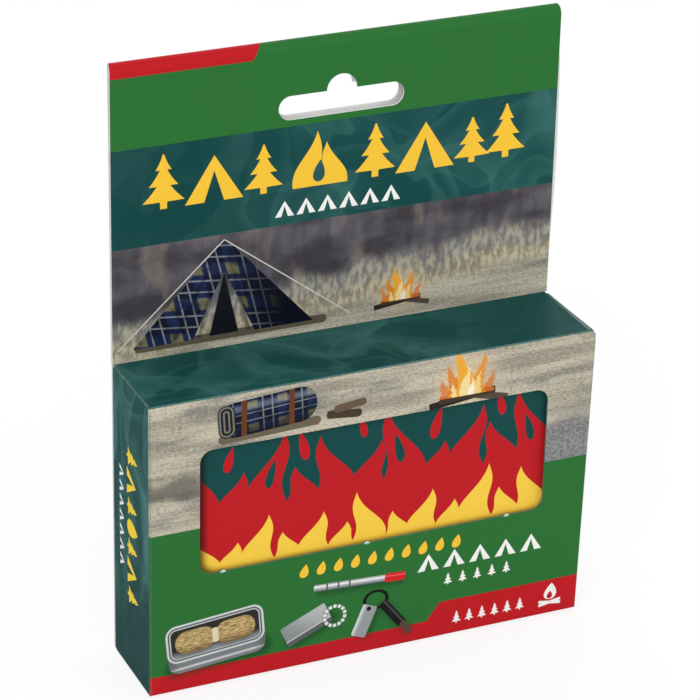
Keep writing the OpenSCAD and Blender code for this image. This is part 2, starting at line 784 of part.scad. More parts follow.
// Tied hank: two lobes and a waist, with oval rings along its length
module tinder_hank() {
    rings = len(hank_shares);
    points = [for (i = [0 : rings - 1], k = [0 : hank_sides - 1])
        let(a = 360 * k / hank_sides, full = hank_shares[i][1])
        [hank_l * (hank_shares[i][0] - 1 / 2),
         hank_w / 2 * full * cos(a),
         hank_t / 2 * min(full * hank_round_share, 1) * sin(a)]];
    walls = [for (i = [0 : rings - 2], k = [0 : hank_sides - 1])
        let(n = (k + 1) % hank_sides)
        each [[i * hank_sides + k, i * hank_sides + n, (i + 1) * hank_sides + n],
              [i * hank_sides + k, (i + 1) * hank_sides + n, (i + 1) * hank_sides + k]]];
    far = (rings - 1) * hank_sides;
    near_end = [for (k = [1 : hank_sides - 2]) [0, k + 1, k]];
    far_end = [for (k = [1 : hank_sides - 2]) [far, far + k, far + k + 1]];
    color("tan") in_tin() translate([hank_x, row_hank_y, hank_z])
        polyhedron(points = points, faces = concat(walls, near_end, far_end));
}

// Flat band tied round the hank's waist
module tinder_band() {
    inner_w = hank_w * hank_shares[band_row][1] + 2 * hank_band_gap;
    inner_t = hank_t * hank_shares[band_row][1] * hank_round_share + 2 * hank_band_gap;
    outer_w = inner_w + 2 * hank_band_t;
    outer_t = inner_t + 2 * hank_band_t;
    color("burlywood") in_tin() translate([hank_x, row_hank_y, hank_z])
        along_x(hank_band_w) difference() {
            rounded_2d(outer_w, outer_t, outer_t / 2 - board_gap);
            rounded_2d(inner_w, inner_t, inner_t / 2 - board_gap);
        }
}

front_panel();
top_panel();
bottom_panel();
back_panel();
seam_flap();
header_front_ply();
header_back_ply();
left_closure();
left_upper_dust_flap();
left_lower_dust_flap();
right_closure();
right_upper_dust_flap();
right_lower_dust_flap();
tin_base();
tin_lid();
hinge_pins();
magnesium_bar();
ball_chain();
chain_clasp();
ferro_rod();
rod_handle();
striker();
lanyard_cord();
cord_end();
tube_section_1();
tube_section_2();
tube_section_3();
tube_section_4();
tube_tip();
mouthpiece();
tinder_hank();
tinder_band();
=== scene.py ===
"""Fire starter tin in its window carton: board, print, tin, kit and studio.

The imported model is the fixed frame. The folded carton, the lanyard and the hank are
made again here, and all other pieces get their finishes. Sizes are written in
millimetres and become metres where a mesh is made. X runs across the front, Y from
the front panel to the back, Z up.
"""
import logging
import math
from dataclasses import dataclass
from enum import Enum
from typing import Callable, Sequence

import bpy
import numpy as np
from mathutils import Matrix, Vector


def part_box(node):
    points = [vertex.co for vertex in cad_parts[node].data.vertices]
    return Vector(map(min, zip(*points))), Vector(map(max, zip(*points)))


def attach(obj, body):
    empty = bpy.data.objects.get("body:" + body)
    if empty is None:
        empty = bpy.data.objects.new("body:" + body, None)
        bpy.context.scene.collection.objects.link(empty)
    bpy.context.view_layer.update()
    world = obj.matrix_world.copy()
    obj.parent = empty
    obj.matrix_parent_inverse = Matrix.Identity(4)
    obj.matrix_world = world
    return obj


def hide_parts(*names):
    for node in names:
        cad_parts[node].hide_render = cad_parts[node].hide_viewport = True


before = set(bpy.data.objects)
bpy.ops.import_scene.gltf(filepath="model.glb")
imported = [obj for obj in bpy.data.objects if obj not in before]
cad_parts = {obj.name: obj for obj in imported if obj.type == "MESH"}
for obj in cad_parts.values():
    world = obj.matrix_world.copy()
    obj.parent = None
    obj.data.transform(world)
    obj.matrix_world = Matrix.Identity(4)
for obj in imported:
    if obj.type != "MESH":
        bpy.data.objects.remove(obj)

LOG = logging.getLogger("fire_starter_tin")
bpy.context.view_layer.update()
MM = 0.001
# Softness of a printed edge, in millimetres
INK_EDGE = 0.09
Colour = tuple[float, float, float]


def ink(code: str) -> Colour:
    """Gives the scene-linear colour of an sRGB code such as "37733A"."""
    parts = [int(code[i:i + 2], 16) / 255 for i in (0, 2, 4)]
    return tuple(c / 12.92 if c <= 0.04045 else ((c + 0.055) / 1.055) ** 2.4 for c in parts)


GREEN, RED, YELLOW, WHITE = ink("2F7337"), ink("C31F27"), ink("FFCC3E"), ink("FBFBF8")
TEAL, MIST = ink("164B49"), ink("3A6C69")
# Pale ink of the front's upper fold: cracked ink, and a painted highlight along its ridge
CREASE_WEAR_AND_HIGHLIGHT = ink("7FA8A1")


# Shader graphs

class Wire:
    """Socket of a node tree. Arithmetic on it adds Math nodes to that tree."""

    def __init__(self, graph: "Graph", socket: bpy.types.NodeSocket) -> None:
        """Holds the socket and the graph that it belongs to."""
        self.graph = graph
        self.socket = socket

    def __add__(self, other: "Feed") -> "Wire":
        """Adds."""
        return self.graph.math("ADD", self, other)

    def __sub__(self, other: "Feed") -> "Wire":
        """Subtracts."""
        return self.graph.math("SUBTRACT", self, other)

    def __rsub__(self, other: "Feed") -> "Wire":
        """Subtracts from a number."""
        return self.graph.math("SUBTRACT", other, self)

    def __mul__(self, other: "Feed") -> "Wire":
        """Multiplies."""
        return self.graph.math("MULTIPLY", self, other)

    def __truediv__(self, other: "Feed") -> "Wire":
        """Divides."""
        return self.graph.math("DIVIDE", self, other)

    def __pow__(self, other: "Feed") -> "Wire":
        """Raises to a power."""
        return self.graph.math("POWER", self, other)

    def __abs__(self) -> "Wire":
        """Drops the sign."""
        return self.graph.math("ABSOLUTE", self)

    __radd__ = __add__


Feed = Wire | float | tuple[float, ...]


class Graph:
    """Node tree with short calls for the nodes that the finishes need."""

    def __init__(self, tree: bpy.types.NodeTree) -> None:
        """Holds the tree."""
        self.tree = tree

    def add(self, kind: str, feeds: dict[str | int, Feed] | None = None,
            **settings: object) -> bpy.types.Node:
        """Adds a node.

        Args:
            kind: The node's type name.
            feeds: What goes into its inputs, by name or number.
            settings: Its properties.

        Returns:
            The new node.
        """
        node = self.tree.nodes.new(kind)
        for key, value in settings.items():
            setattr(node, key, value)
        for key, value in (feeds or {}).items():
            self.feed(node.inputs[key], value)
        return node

    def feed(self, socket: bpy.types.NodeSocket, value: Feed) -> None:
        """Links a wire to a socket, or writes a constant into it.

        Args:
            socket: The input to fill.
            value: A wire, a number, a vector or a colour without its alpha.
        """
        if isinstance(value, Wire):
            self.tree.links.new(value.socket, socket)
        elif isinstance(value, tuple) and socket.type == "RGBA":
            socket.default_value = (*value, 1.0)
        else:
            socket.default_value = value

    def math(self, operation: str, *values: Feed, clamp: bool = False) -> Wire:
        """Adds a Math node and gives its result."""
        node = self.add("ShaderNodeMath", dict(enumerate(values)), operation=operation, use_clamp=clamp)
        return Wire(self, node.outputs[0])

    def clamp(self, value: Feed) -> Wire:
        """Keeps a value between 0 and 1."""
        return self.math("ADD", value, 0.0, clamp=True)

    def smooth(self, value: Feed, low: Feed, high: Feed) -> Wire:
        """Rises smoothly from 0 at low to 1 at high."""
        node = self.add("ShaderNodeMapRange", {0: value, 1: low, 2: high}, interpolation_type="SMOOTHSTEP")
        return Wire(self, node.outputs[0])

    def edge(self, depth: Wire, soft: float = INK_EDGE) -> Wire:
        """Gives 1 where a depth is over 0, with an edge as soft as is asked."""
        return self.clamp(depth / soft + 0.5)

    def noise(self, vector: Wire, scale: float | tuple[float, float, float], detail: float = 2,
              roughness: float = 0.5, output: int = 0) -> Wire:
        """Adds a Noise Texture.

        Args:
            vector: Where it is read.
            scale: Lumps per unit, the same or with its own number each way.
            detail: Number of finer layers.
            roughness: Share of each finer layer.
            output: 0 for the noise's value, 1 for its colour.

        Returns:
            The value or the colour.
        """
        if isinstance(scale, tuple):
            vector, scale = self.scaled(vector, scale), 1.0
        node = self.add("ShaderNodeTexNoise", {"Vector": vector, "Scale": scale, "Detail": detail,
                                               "Roughness": roughness})
        return Wire(self, node.outputs[output])

    def vector(self, x: Feed, y: Feed, z: Feed = 0.0) -> Wire:
        """Joins three values into a vector."""
        return Wire(self, self.add("ShaderNodeCombineXYZ", {0: x, 1: y, 2: z}).outputs[0])

    def parts(self, vector: Wire) -> tuple[Wire, Wire, Wire]:
        """Splits a vector into its three values."""
        node = self.add("ShaderNodeSeparateXYZ", {0: vector})
        return tuple(Wire(self, s) for s in node.outputs)

    def scaled(self, vector: Wire, scale: tuple[float, float, float]) -> Wire:
        """Multiplies a vector by three factors."""
        node = self.add("ShaderNodeMapping", {"Vector": vector, "Scale": scale})
        return Wire(self, node.outputs[0])

    def shifted(self, vector: Wire, other: Wire, amount: float) -> Wire:
        """Moves a vector by a noise colour, counted from its middle.

        Args:
            vector: The vector to move.
            other: The noise colour, 0.5 where nothing moves.
            amount: How far a whole step of the colour moves it.

        Returns:
            The moved vector.
        """
        middle = self.add("ShaderNodeVectorMath", {0: other, 1: (0.5, 0.5, 0.5)}, operation="SUBTRACT")
        feeds = {0: Wire(self, middle.outputs[0]), 1: (amount,) * 3, 2: vector}
        node = self.add("ShaderNodeVectorMath", feeds, operation="MULTIPLY_ADD")
        return Wire(self, node.outputs[0])

    def mix(self, mask: Feed, under: Feed, over: Feed) -> Wire:
        """Mixes two colours by a mask."""
        node = self.add("ShaderNodeMix", {0: mask, 6: under, 7: over}, data_type="RGBA")
        return Wire(self, node.outputs[2])

    def blank(self) -> Wire:
        """Gives the place on the flat board, in millimetres, from the piece's own map."""
        flat = self.add("ShaderNodeUVMap", uv_map="blank")
        return self.scaled(Wire(self, flat.outputs[0]), (1 / MM,) * 3)

    def place(self) -> Wire:
        """Gives the place on the object in millimetres."""
        return self.scaled(Wire(self, self.add("ShaderNodeTexCoord").outputs["Object"]), (1 / MM,) * 3)

    def use(self, effect: "Effect", **feeds: Feed) -> dict[str, Wire]:
        """Places a shared effect.

        Args:
            effect: The effect.
            feeds: What goes into its inputs, by name. The others keep their values.

        Returns:
            Its outputs by name.
        """
        node = self.add("ShaderNodeGroup", node_tree=effect.tree())
        for key, value in feeds.items():
            self.feed(node.inputs[key], value)
        return {s.name: Wire(self, s) for s in node.outputs}


def fresh_graph(holder: bpy.types.Material | bpy.types.World) -> Graph:
    """Empties the node tree of a material or a world.

    Args:
        holder: The material or world.

    Returns:
        Its graph.
    """
    holder.use_nodes = True
    holder.node_tree.nodes.clear()
    return Graph(holder.node_tree)


@dataclass(frozen=True)
class Effect:
    """Shader node group that several finishes share, built the first time it is used."""

    name: str
    inputs: tuple[tuple[str, str, object], ...]
    outputs: tuple[tuple[str, str], ...]
    wire: Callable[[Graph, dict[str, Wire]], dict[str, Wire]]

    def tree(self) -> bpy.types.NodeTree:
        """Gives the group's tree, with its sockets and nodes made once.

        Returns:
            The tree.
        """
        if self.name in bpy.data.node_groups:
            return bpy.data.node_groups[self.name]
        tree = bpy.data.node_groups.new(self.name, "ShaderNodeTree")
        for name, kind, value in self.inputs:
            socket = tree.interface.new_socket(name, in_out="INPUT", socket_type="NodeSocket" + kind)
            if value is not None:
                socket.default_value = (*value, 1.0) if kind == "Color" else value
        for name, kind in self.outputs:
            tree.interface.new_socket(name, in_out="OUTPUT", socket_type="NodeSocket" + kind)
        graph = Graph(tree)
        source = tree.nodes.new("NodeGroupInput")
        target = tree.nodes.new("NodeGroupOutput")
        made = self.wire(graph, {s.name: Wire(graph, s) for s in source.outputs if s.name})
        for name, value in made.items():
            graph.feed(target.inputs[name], value)
        return tree


MOTIF_SOCKETS = (("Vector", "Vector", None), ("Middle", "Float", 0.0), ("Foot", "Float", 0.0),
                 ("Height", "Float", 10.0), ("Width", "Float", 10.0), ("Sway", "Float", 0.0))


def motif_wiring(outline: Callable[[Graph, Wire, Wire, dict[str, Wire]], tuple[Wire, Feed]]
                 ) -> Callable[[Graph, dict[str, Wire]], dict[str, Wire]]:
    """Makes the wiring of a printed motif.

    A point is inside where its distance from the motif's middle line is less than the
    half width at its height, and its height is between the foot and the tip.

    Args:
        outline: Gives the half width and the middle line's sideways shift, from the
            height as a share of the whole.

    Returns:
        The wiring for an Effect.
    """
    def wire(g: Graph, i: dict[str, Wire]) -> dict[str, Wire]:
        """Wires the motif's mask.

        Args:
            g: The group's graph.
            i: Its inputs by name.

        Returns:
            Its outputs by name.
        """
        x, z, _ = g.parts(i["Vector"])
        rise = (z - i["Foot"]) / i["Height"]
        t = g.clamp(rise)
        across = x - i["Middle"]
        half, lean = outline(g, t, across, i)
        ends = g.edge(rise * i["Height"]) * g.edge((1.0 - rise) * i["Height"])
        return {"Mask": g.edge(half - abs(across - lean)) * ends}
    return wire


def tongue_outline(g: Graph, t: Wire, across: Wire, i: dict[str, Wire]) -> tuple[Wire, Wire]:
    """Flame tongue: half width W/2 (1-t)^1.2 (1+0.75 t), leaning as t^1.7 with an S.

    Args:
        g: The group's graph.
        t: Height as a share of the whole.
        across: Not used.
        i: The group's inputs by name.

    Returns:
        The half width, and the middle line's shift.
    """
    half = i["Width"] * 0.5 * (1.0 - t) ** 1.2 * (1.0 + t * 0.75)
    lean = i["Sway"] * (t ** 1.7) - i["Sway"] * 0.28 * g.math("SINE", t * (2 * math.pi))
    return half, lean


def drop_outline(g: Graph, t: Wire, across: Wire, i: dict[str, Wire]) -> tuple[Wire, Wire]:
    """Flame drop: half width 1.3 W sqrt(t) (1-t), round below and pointed above."""
    return i["Width"] * 1.3 * (t ** 0.5) * (1.0 - t), i["Sway"] * (t ** 1.6)


def pine_outline(g: Graph, t: Wire, across: Wire, i: dict[str, Wire]) -> tuple[Wire, Wire]:
    """Pine: a narrow trunk, then three tiers that narrow upwards in saw teeth.

    Args:
        g: The group's graph.
        t: Height as a share of the whole.
        across: Not used.
        i: The group's inputs by name.

    Returns:
        The half width, and the middle line's shift.
    """
    trunk_top = 0.13
    tier = g.math("FRACT", (t - trunk_top) * 3.4)
    crown = i["Width"] * 0.5 * (1.08 - t) * (1.16 - tier * 0.62)
    trunk = g.edge(trunk_top - t, 0.01)
    return crown * (1.0 - trunk) + i["Width"] * 0.09 * trunk, i["Sway"] * t


def tent_outline(g: Graph, t: Wire, across: Wire, i: dict[str, Wire]) -> tuple[Wire, Wire]:
    """Tent: half width W/2 (1-t), less a pointed door in its middle."""
    door = g.edge(i["Width"] * 0.17 * (1.0 - t / 0.66) - abs(across))
    return i["Width"] * 0.5 * (1.0 - t) - door * i["Width"], i["Sway"] * t


class Motif(Enum):
    """Printed motifs."""

    TONGUE = Effect("flame_tongue", MOTIF_SOCKETS, (("Mask", "Float"),), motif_wiring(tongue_outline))
    DROP = Effect("flame_drop", MOTIF_SOCKETS, (("Mask", "Float"),), motif_wiring(drop_outline))
    PINE = Effect("pine", MOTIF_SOCKETS, (("Mask", "Float"),), motif_wiring(pine_outline))
    TENT = Effect("tent", MOTIF_SOCKETS, (("Mask", "Float"),), motif_wiring(tent_outline))


def wire_bar(g: Graph, i: dict[str, Wire]) -> dict[str, Wire]:
    """Round-cornered bar: the distance to a rounded box, in turned coordinates.

    Past the corners' centres the distance is the root of the sum of squares, and inside
    them it is the larger of the two sides' distances, each less the corner's radius.

    Args:
        g: The group's graph.
        i: Its inputs by name.

    Returns:
        Its outputs by name.
    """
    x, z, _ = g.parts(i["Vector"])
    dx, dz = x - i["Middle"], z - i["Level"]
    cosine, sine = g.math("COSINE", i["Turn"]), g.math("SINE", i["Turn"])
    along, over = dx * cosine + dz * sine, dz * cosine - dx * sine
    qx = abs(along) - i["HalfLength"] + i["Round"]
    qz = abs(over) - i["HalfWidth"] + i["Round"]
    px, pz = g.math("MAXIMUM", qx, 0.0), g.math("MAXIMUM", qz, 0.0)
    inner = g.math("MINIMUM", g.math("MAXIMUM", qx, qz), 0.0)
    far = g.math("SQRT", px * px + pz * pz) + inner - i["Round"]
    return {"Mask": g.clamp(0.5 - far / INK_EDGE), "Distance": far, "Along": along, "Over": over}


BAR = Effect("round_bar", (("Vector", "Vector", None), ("Middle", "Float", 0.0), ("Level", "Float", 0.0),
                           ("HalfLength", "Float", 5.0), ("HalfWidth", "Float", 1.0), ("Round", "Float", 0.5),
                           ("Turn", "Float", 0.0)),
             (("Mask", "Float"), ("Distance", "Float"), ("Along", "Float"), ("Over", "Float")), wire_bar)


def wire_smoke(g: Graph, i: dict[str, Wire]) -> dict[str, Wire]:
    """Smoke: noises read through a warped place, for clouds and for one-sided veils.

    Args:
        g: The group's graph.
        i: Its inputs by name.

    Returns:
        Its outputs by name.
    """
    bend = g.noise(i["Vector"], 0.035, 1, output=1)
    warped = g.shifted(i["Vector"], bend, 34.0)
    cloud = g.noise(warped, 0.036, 2, 0.45)
    wisp = g.noise(warped, (0.07, 0.036, 0.03), 1)
    fold = g.noise(warped, (-0.04, 0.075, 0.03), 0)
    veil = g.smooth(wisp, 0.475, 0.5) * g.smooth(wisp, 0.66, 0.5)
    second = g.smooth(fold, 0.53, 0.51) * g.smooth(fold, 0.36, 0.51)
    haze = g.noise(i["Vector"], 0.25, 3, 0.6)
    mask = g.smooth(cloud, 0.44, 0.7) * 0.55 + veil * 0.42 + second * 0.28 + (haze - 0.5) * 0.16
    return {"Color": g.mix(g.clamp(mask), i["Dark"], i["Light"])}


SMOKE = Effect("smoke", (("Vector", "Vector", None), ("Dark", "Color", TEAL), ("Light", "Color", MIST)),
               (("Color", "Color"),), wire_smoke)


def wire_meadow(g: Graph, i: dict[str, Wire]) -> dict[str, Wire]:
    """Dry meadow: level streaks of straw, then grass, brush and a blurred line of trees.

    Args:
        g: The group's graph.
        i: Its inputs by name.

    Returns:
        Its outputs by name.
    """
    x, z, _ = g.parts(i["Vector"])
    streak = g.noise(i["Vector"], (0.022, 0.24, 1.0), 5, 0.62)
    speck = g.noise(i["Vector"], (1.1, 3.0, 1.0), 3, 0.65)
    patch = g.noise(i["Vector"], (0.04, 0.13, 1.0), 3, 0.6)
    stem = g.noise(i["Vector"], (0.3, 0.05, 1.0), 2, 0.5)
    bough = g.noise(i["Vector"], (0.12, 0.06, 1.0), 3)
    tuft = g.noise(i["Vector"], (0.7, 0.3, 1.0), 3, 0.6)
    ground = g.mix(g.smooth(streak, 0.36, 0.62), ink("A09A8A"), ink("CFC7B3"))
    ground = g.mix(g.smooth(patch, 0.52, 0.7) * i["Shade"], ground, ink("666B6C"))
    ground = g.mix(g.smooth(speck, 0.46, 0.68) * 0.6, ground, ink("6A685F"))
    ground = g.mix(g.smooth(speck, 0.5, 0.3) * 0.4, ground, ink("DCD5C3"))
    brush = g.mix(g.smooth(tuft, 0.38, 0.62), ink("77787C"), ink("A9A595"))
    grass = g.mix(g.smooth(tuft, 0.4, 0.62), ink("938C76"), ink("C9BFA3"))
    haze = g.noise(i["Vector"], (0.05, 0.09, 1.0), 3, 0.6)
    wood = g.mix(g.smooth(haze, 0.36, 0.64), ink("433F46"), ink("69666D"))
    wood = g.mix(g.smooth(stem, 0.3, 0.7) * 0.5, wood, ink("3A363C"))
    wood = g.mix(g.smooth(bough, 0.52, 0.72) * 0.55, wood, ink("8E8373"))
    line = i["Treeline"] + i["Slope"] * x + (bough - 0.5) * 9.0
    ground = g.mix(g.smooth(z, line - 13.0, line - 8.0), ground, grass)
    ground = g.mix(g.smooth(z, line - 8.5, line - 4.5) * 0.85, ground, brush)
    return {"Color": g.mix(g.smooth(z, line - 3.5, line + 1.5), ground, wood)}


MEADOW = Effect("meadow", (("Vector", "Vector", None), ("Treeline", "Float", 95.0), ("Slope", "Float", 0.0),
                           ("Shade", "Float", 0.6)),
                (("Color", "Color"),), wire_meadow)


def wire_plaid(g: Graph, i: dict[str, Wire]) -> dict[str, Wire]:
    """Plaid cloth: crossing bands and thin lines on a dark ground.

    Args:
        g: The group's graph.
        i: Its inputs by name.

    Returns:
        Its outputs by name.
    """
    x, z, _ = g.parts(i["Vector"])
    bands = []
    for value in (x, z):
        share = g.math("FRACT", value / i["Pitch"])
        wide = g.smooth(abs(share - 0.5), 0.2, 0.13)
        thin = g.smooth(abs(abs(share - 0.5) - 0.34), 0.035, 0.01)
        bands.append((wide, thin))
    cloth = g.mix((bands[0][0] + bands[1][0]) * 0.5, ink("171C31"), ink("2A3C6B"))
    cloth = g.mix(bands[0][0] * bands[1][0] * 0.75, cloth, ink("8C8650"))
    lines = g.math("MAXIMUM", bands[0][1], bands[1][1])
    grain = g.noise(i["Vector"], 0.3, 3, 0.6)
    cloth = g.mix(lines * 0.6, cloth, ink("A7ADB0"))
    return {"Color": g.mix(g.smooth(grain, 0.42, 0.7) * 0.65, cloth, ink("0D1120"))}


PLAID = Effect("plaid", (("Vector", "Vector", None), ("Pitch", "Float", 6.0)),
               (("Color", "Color"),), wire_plaid)


def wire_board(g: Graph, i: dict[str, Wire]) -> dict[str, Wire]:
    """Folding board: fine felted fibres as height, a faint tone, and scuffs.

    Args:
        g: The group's graph.
        i: Its inputs by name.

    Returns:
        Its outputs by name.
    """
    fine = g.noise(i["Vector"], (2.2, 3.1, 2.6), 3, 0.6)
    long = g.noise(i["Vector"], (0.35, 2.4, 0.9), 2)
    wave = g.noise(i["Vector"], 0.05, 1)
    scuff = g.noise(i["Vector"], (0.9, 0.9, 0.9), 4, 0.7)
    return {"Height": fine * 0.6 + long * 0.4, "Tone": wave * 0.06 + fine * 0.03 + 0.955,
            "Scuff": g.smooth(scuff, 0.5, 0.62), "Wave": wave}


BOARD = Effect("board_fibres", (("Vector", "Vector", None),),
               (("Height", "Float"), ("Tone", "Float"), ("Scuff", "Float"), ("Wave", "Float")), wire_board)


def wire_worn(g: Graph, i: dict[str, Wire]) -> dict[str, Wire]:
    """Handled metal: brushed lines along X, soft smudges and a few bright scratches.

    Args:
        g: The group's graph.
        i: Its inputs by name.

    Returns:
        Its outputs by name.
    """
    lines = g.noise(i["Vector"], (0.25, 9.0, 9.0), 3, 0.6)
    smudge = g.noise(i["Vector"], 0.12, 3, 0.6)
    mark = g.noise(i["Vector"], (0.5, 3.0, 3.0), 1)
    return {"Height": lines, "Smudge": smudge, "Scratch": g.smooth(mark, 0.68, 0.74)}


WORN = Effect("worn_metal", (("Vector", "Vector", None),),
              (("Height", "Float"), ("Smudge", "Float"), ("Scratch", "Float")), wire_worn)


# Finishes

@dataclass(frozen=True)
class Finish:
    """Finish of a piece: a Principled surface that a subclass dresses."""

    name: str
    roughness: float = 0.5
    metallic: float = 0.0
    shine: float = 0.5
    ior: float = 1.5

    def dress(self, g: Graph, skin: bpy.types.Node) -> None:
        """Wires the finish into the Principled node. A subclass fills this in."""

    def bump(self, g: Graph, skin: bpy.types.Node, height: Wire, depth: float,
             strength: float = 1.0) -> None:
        """Puts a relief into the surface's normal.

        Args:
            g: The material's graph.
            skin: Its Principled node.
            height: The relief, from 0 to 1.
            depth: Its depth in millimetres.
            strength: Share of it that shows.
        """
        node = g.add("ShaderNodeBump", {"Height": height, "Strength": strength, "Distance": depth * MM})
        g.feed(skin.inputs["Normal"], Wire(g, node.outputs[0]))

    def material(self) -> bpy.types.Material:
        """Gives the finish's material, made once.

        Returns:
            The material.
        """
        if self.name in bpy.data.materials:
            return bpy.data.materials[self.name]
        made = bpy.data.materials.new(self.name)
        g = fresh_graph(made)
        skin = g.add("ShaderNodeBsdfPrincipled", {
            "Roughness": self.roughness, "Metallic": self.metallic, "IOR": self.ior,
            "Specular IOR Level": self.shine})
        g.add("ShaderNodeOutputMaterial", {"Surface": Wire(g, skin.outputs[0])})
        self.dress(g, skin)
        return made


class Picture:
    """Inks laid over each other on one panel, in its flat coordinates."""

    def __init__(self, graph: Graph, vector: Wire, ground: Feed) -> None:
        """Starts with the ground ink.

        Args:
            graph: The material's graph.
            vector: Place on the flat panel.
            ground: The ground ink.
        """
        self.g = graph
        self.vector = vector
        self.x, self.z, _ = graph.parts(vector)
        self.ink = graph.mix(0.0, ground, ground)

    def lay(self, colour: Feed, mask: Feed) -> None:
        """Lays an ink where the mask is."""
        self.ink = self.g.mix(mask, self.ink, colour)

    def above(self, limit: Feed, soft: float = INK_EDGE) -> Wire:
        """Masks what is higher than the limit."""
        return self.g.edge(self.z - limit, soft)

    def span(self, low: float, high: float) -> Wire:
        """Masks what is between two places across."""
        return self.g.edge(self.x - low) * self.g.edge(high - self.x)

    def motif(self, kind: Motif, colour: Feed, middle: float, foot: float, height: float,
              width: float, sway: float = 0.0, cover: float = 1.0) -> None:
        """Lays one motif.

        Args:
            kind: The motif.
            colour: Its ink.
            middle: Place of its foot across.
            foot: Height of its foot.
            height: Its height.
            width: Its width.
            sway: How far its tip leans to the right.
            cover: Share of the ink beneath that it hides.
        """
        made = self.g.use(kind.value, Vector=self.vector, Middle=middle, Foot=foot, Height=height,
                          Width=width, Sway=sway)
        self.lay(colour, made["Mask"] * cover)

    def row(self, kind: Motif, colour: Feed, start: float, end: float, pitch: float, foot: float,
            height: float, width: float, sway: float = 0.0) -> None:
        """Lays a row of equal motifs.

        Args:
            start: Where the row starts across.
            end: Where it ends.
            pitch: Distance from one motif to the next. The others are as for motif.
        """
        cell = self.g.math("FRACT", (self.x - start) / pitch) * pitch
        made = self.g.use(kind.value, Vector=self.g.vector(cell, self.z), Middle=pitch / 2, Foot=foot,
                          Height=height, Width=width, Sway=sway)
        self.lay(colour, made["Mask"] * self.span(start, end))

    def bar_at(self, middle: float, level: float, half_length: float, half_width: float,
               corner: float, turn: float = 0.0) -> dict[str, Wire]:
        """Works out a round-cornered bar without laying it.

        Args:
            middle: Place of its middle across.
            level: Height of its middle.
            half_length: Half its length.
            half_width: Half its width.
            corner: Radius of its corners.
            turn: Degrees by which it is turned against the clock.

        Returns:
            Its mask, the distance to its outline, and the places along and over it.
        """
        return self.g.use(BAR, Vector=self.vector, Middle=middle, Level=level, HalfLength=half_length,
                          HalfWidth=half_width, Round=corner, Turn=math.radians(turn))

    def bar(self, colour: Feed, middle: float, level: float, half_length: float, half_width: float,
            corner: float, turn: float = 0.0) -> dict[str, Wire]:
        """Lays a round-cornered bar.

        Args:
            colour: Its ink. The other arguments are as for bar_at.

        Returns:
            What bar_at gives.
        """
        made = self.bar_at(middle, level, half_length, half_width, corner, turn)
        self.lay(colour, made["Mask"])
        return made

    def shadow(self, middle: float, level: float, half_length: float, half_width: float,
               turn: float = 0.0, depth: float = 0.6) -> None:
        """Lays a soft shadow: a round-ended bar that fades out round its outline.

        Args:
            depth: Share of the ink beneath that it hides. The others are as for bar_at.
        """
        far = self.bar_at(middle, level, half_length, half_width, half_width, turn)["Distance"]
        self.lay(ink("12331A"), self.g.smooth(far, 1.5, -1.2) * depth)

    def campfire(self, middle: float, foot: float, size: float) -> None:
        """Lays a small campfire: a glow, three crossed logs and flickering tongues.

        Args:
            middle: Place of its middle across.
            foot: Height of its foot.
            size: Its size, which all its parts are shares of.
        """
        g = self.g
        across, over = self.x - middle, (self.z - foot - size * 0.45) * 1.1
        spot = g.math("SQRT", across ** 2.0 + over ** 2.0)
        self.lay(ink("F0CFA0"), g.smooth(spot, size, size * 0.1) * 0.55)
        for colour, shift, level, turn in (("2F2824", -0.2, 0.04, 7), ("5A4B40", 0.32, 0.05, -14),
                                           ("443931", 0.02, 0.1, 3)):
            self.bar(ink(colour), middle + shift * size, foot + level * size, size * 0.62,
                     size * 0.08, 0.35, turn)
        flicker = g.noise(self.vector, 0.9, 2)
        calm = self.vector
        self.vector = g.vector(self.x + (flicker - 0.5) * size * 0.16, self.z)
        for colour, shift, height, width, sway, cover in (
                ("E07B22", -0.48, 0.46, 0.26, -0.08, 0.8), ("E2861F", -0.28, 0.78, 0.34, -0.12, 0.9),
                ("E8962A", 0.24, 0.92, 0.36, 0.14, 0.9), ("DE7420", 0.50, 0.50, 0.24, 0.10, 0.8),
                ("F2AE3C", -0.04, 1.12, 0.46, -0.16, 1.0), ("F9D98A", 0.22, 0.50, 0.22, 0.06, 0.9),
                ("FBE3A0", -0.03, 0.66, 0.26, 0.06, 1.0), ("FFF6DC", 0.10, 0.38, 0.16, 0.04, 1.0),
                ("FBE3A0", -0.28, 0.34, 0.14, -0.04, 0.9)):
            self.motif(Motif.TONGUE, ink(colour), middle + shift * size, foot + size * 0.1,
                       height * size, width * size, sway * size, cover)
        self.vector = calm


class Panel(Enum):
    """Printed panels of the carton."""

    FRONT = "front"
    TOP = "top"
    HEADER = "header"
    END = "end"
    BACK = "back"
    BASE = "base"


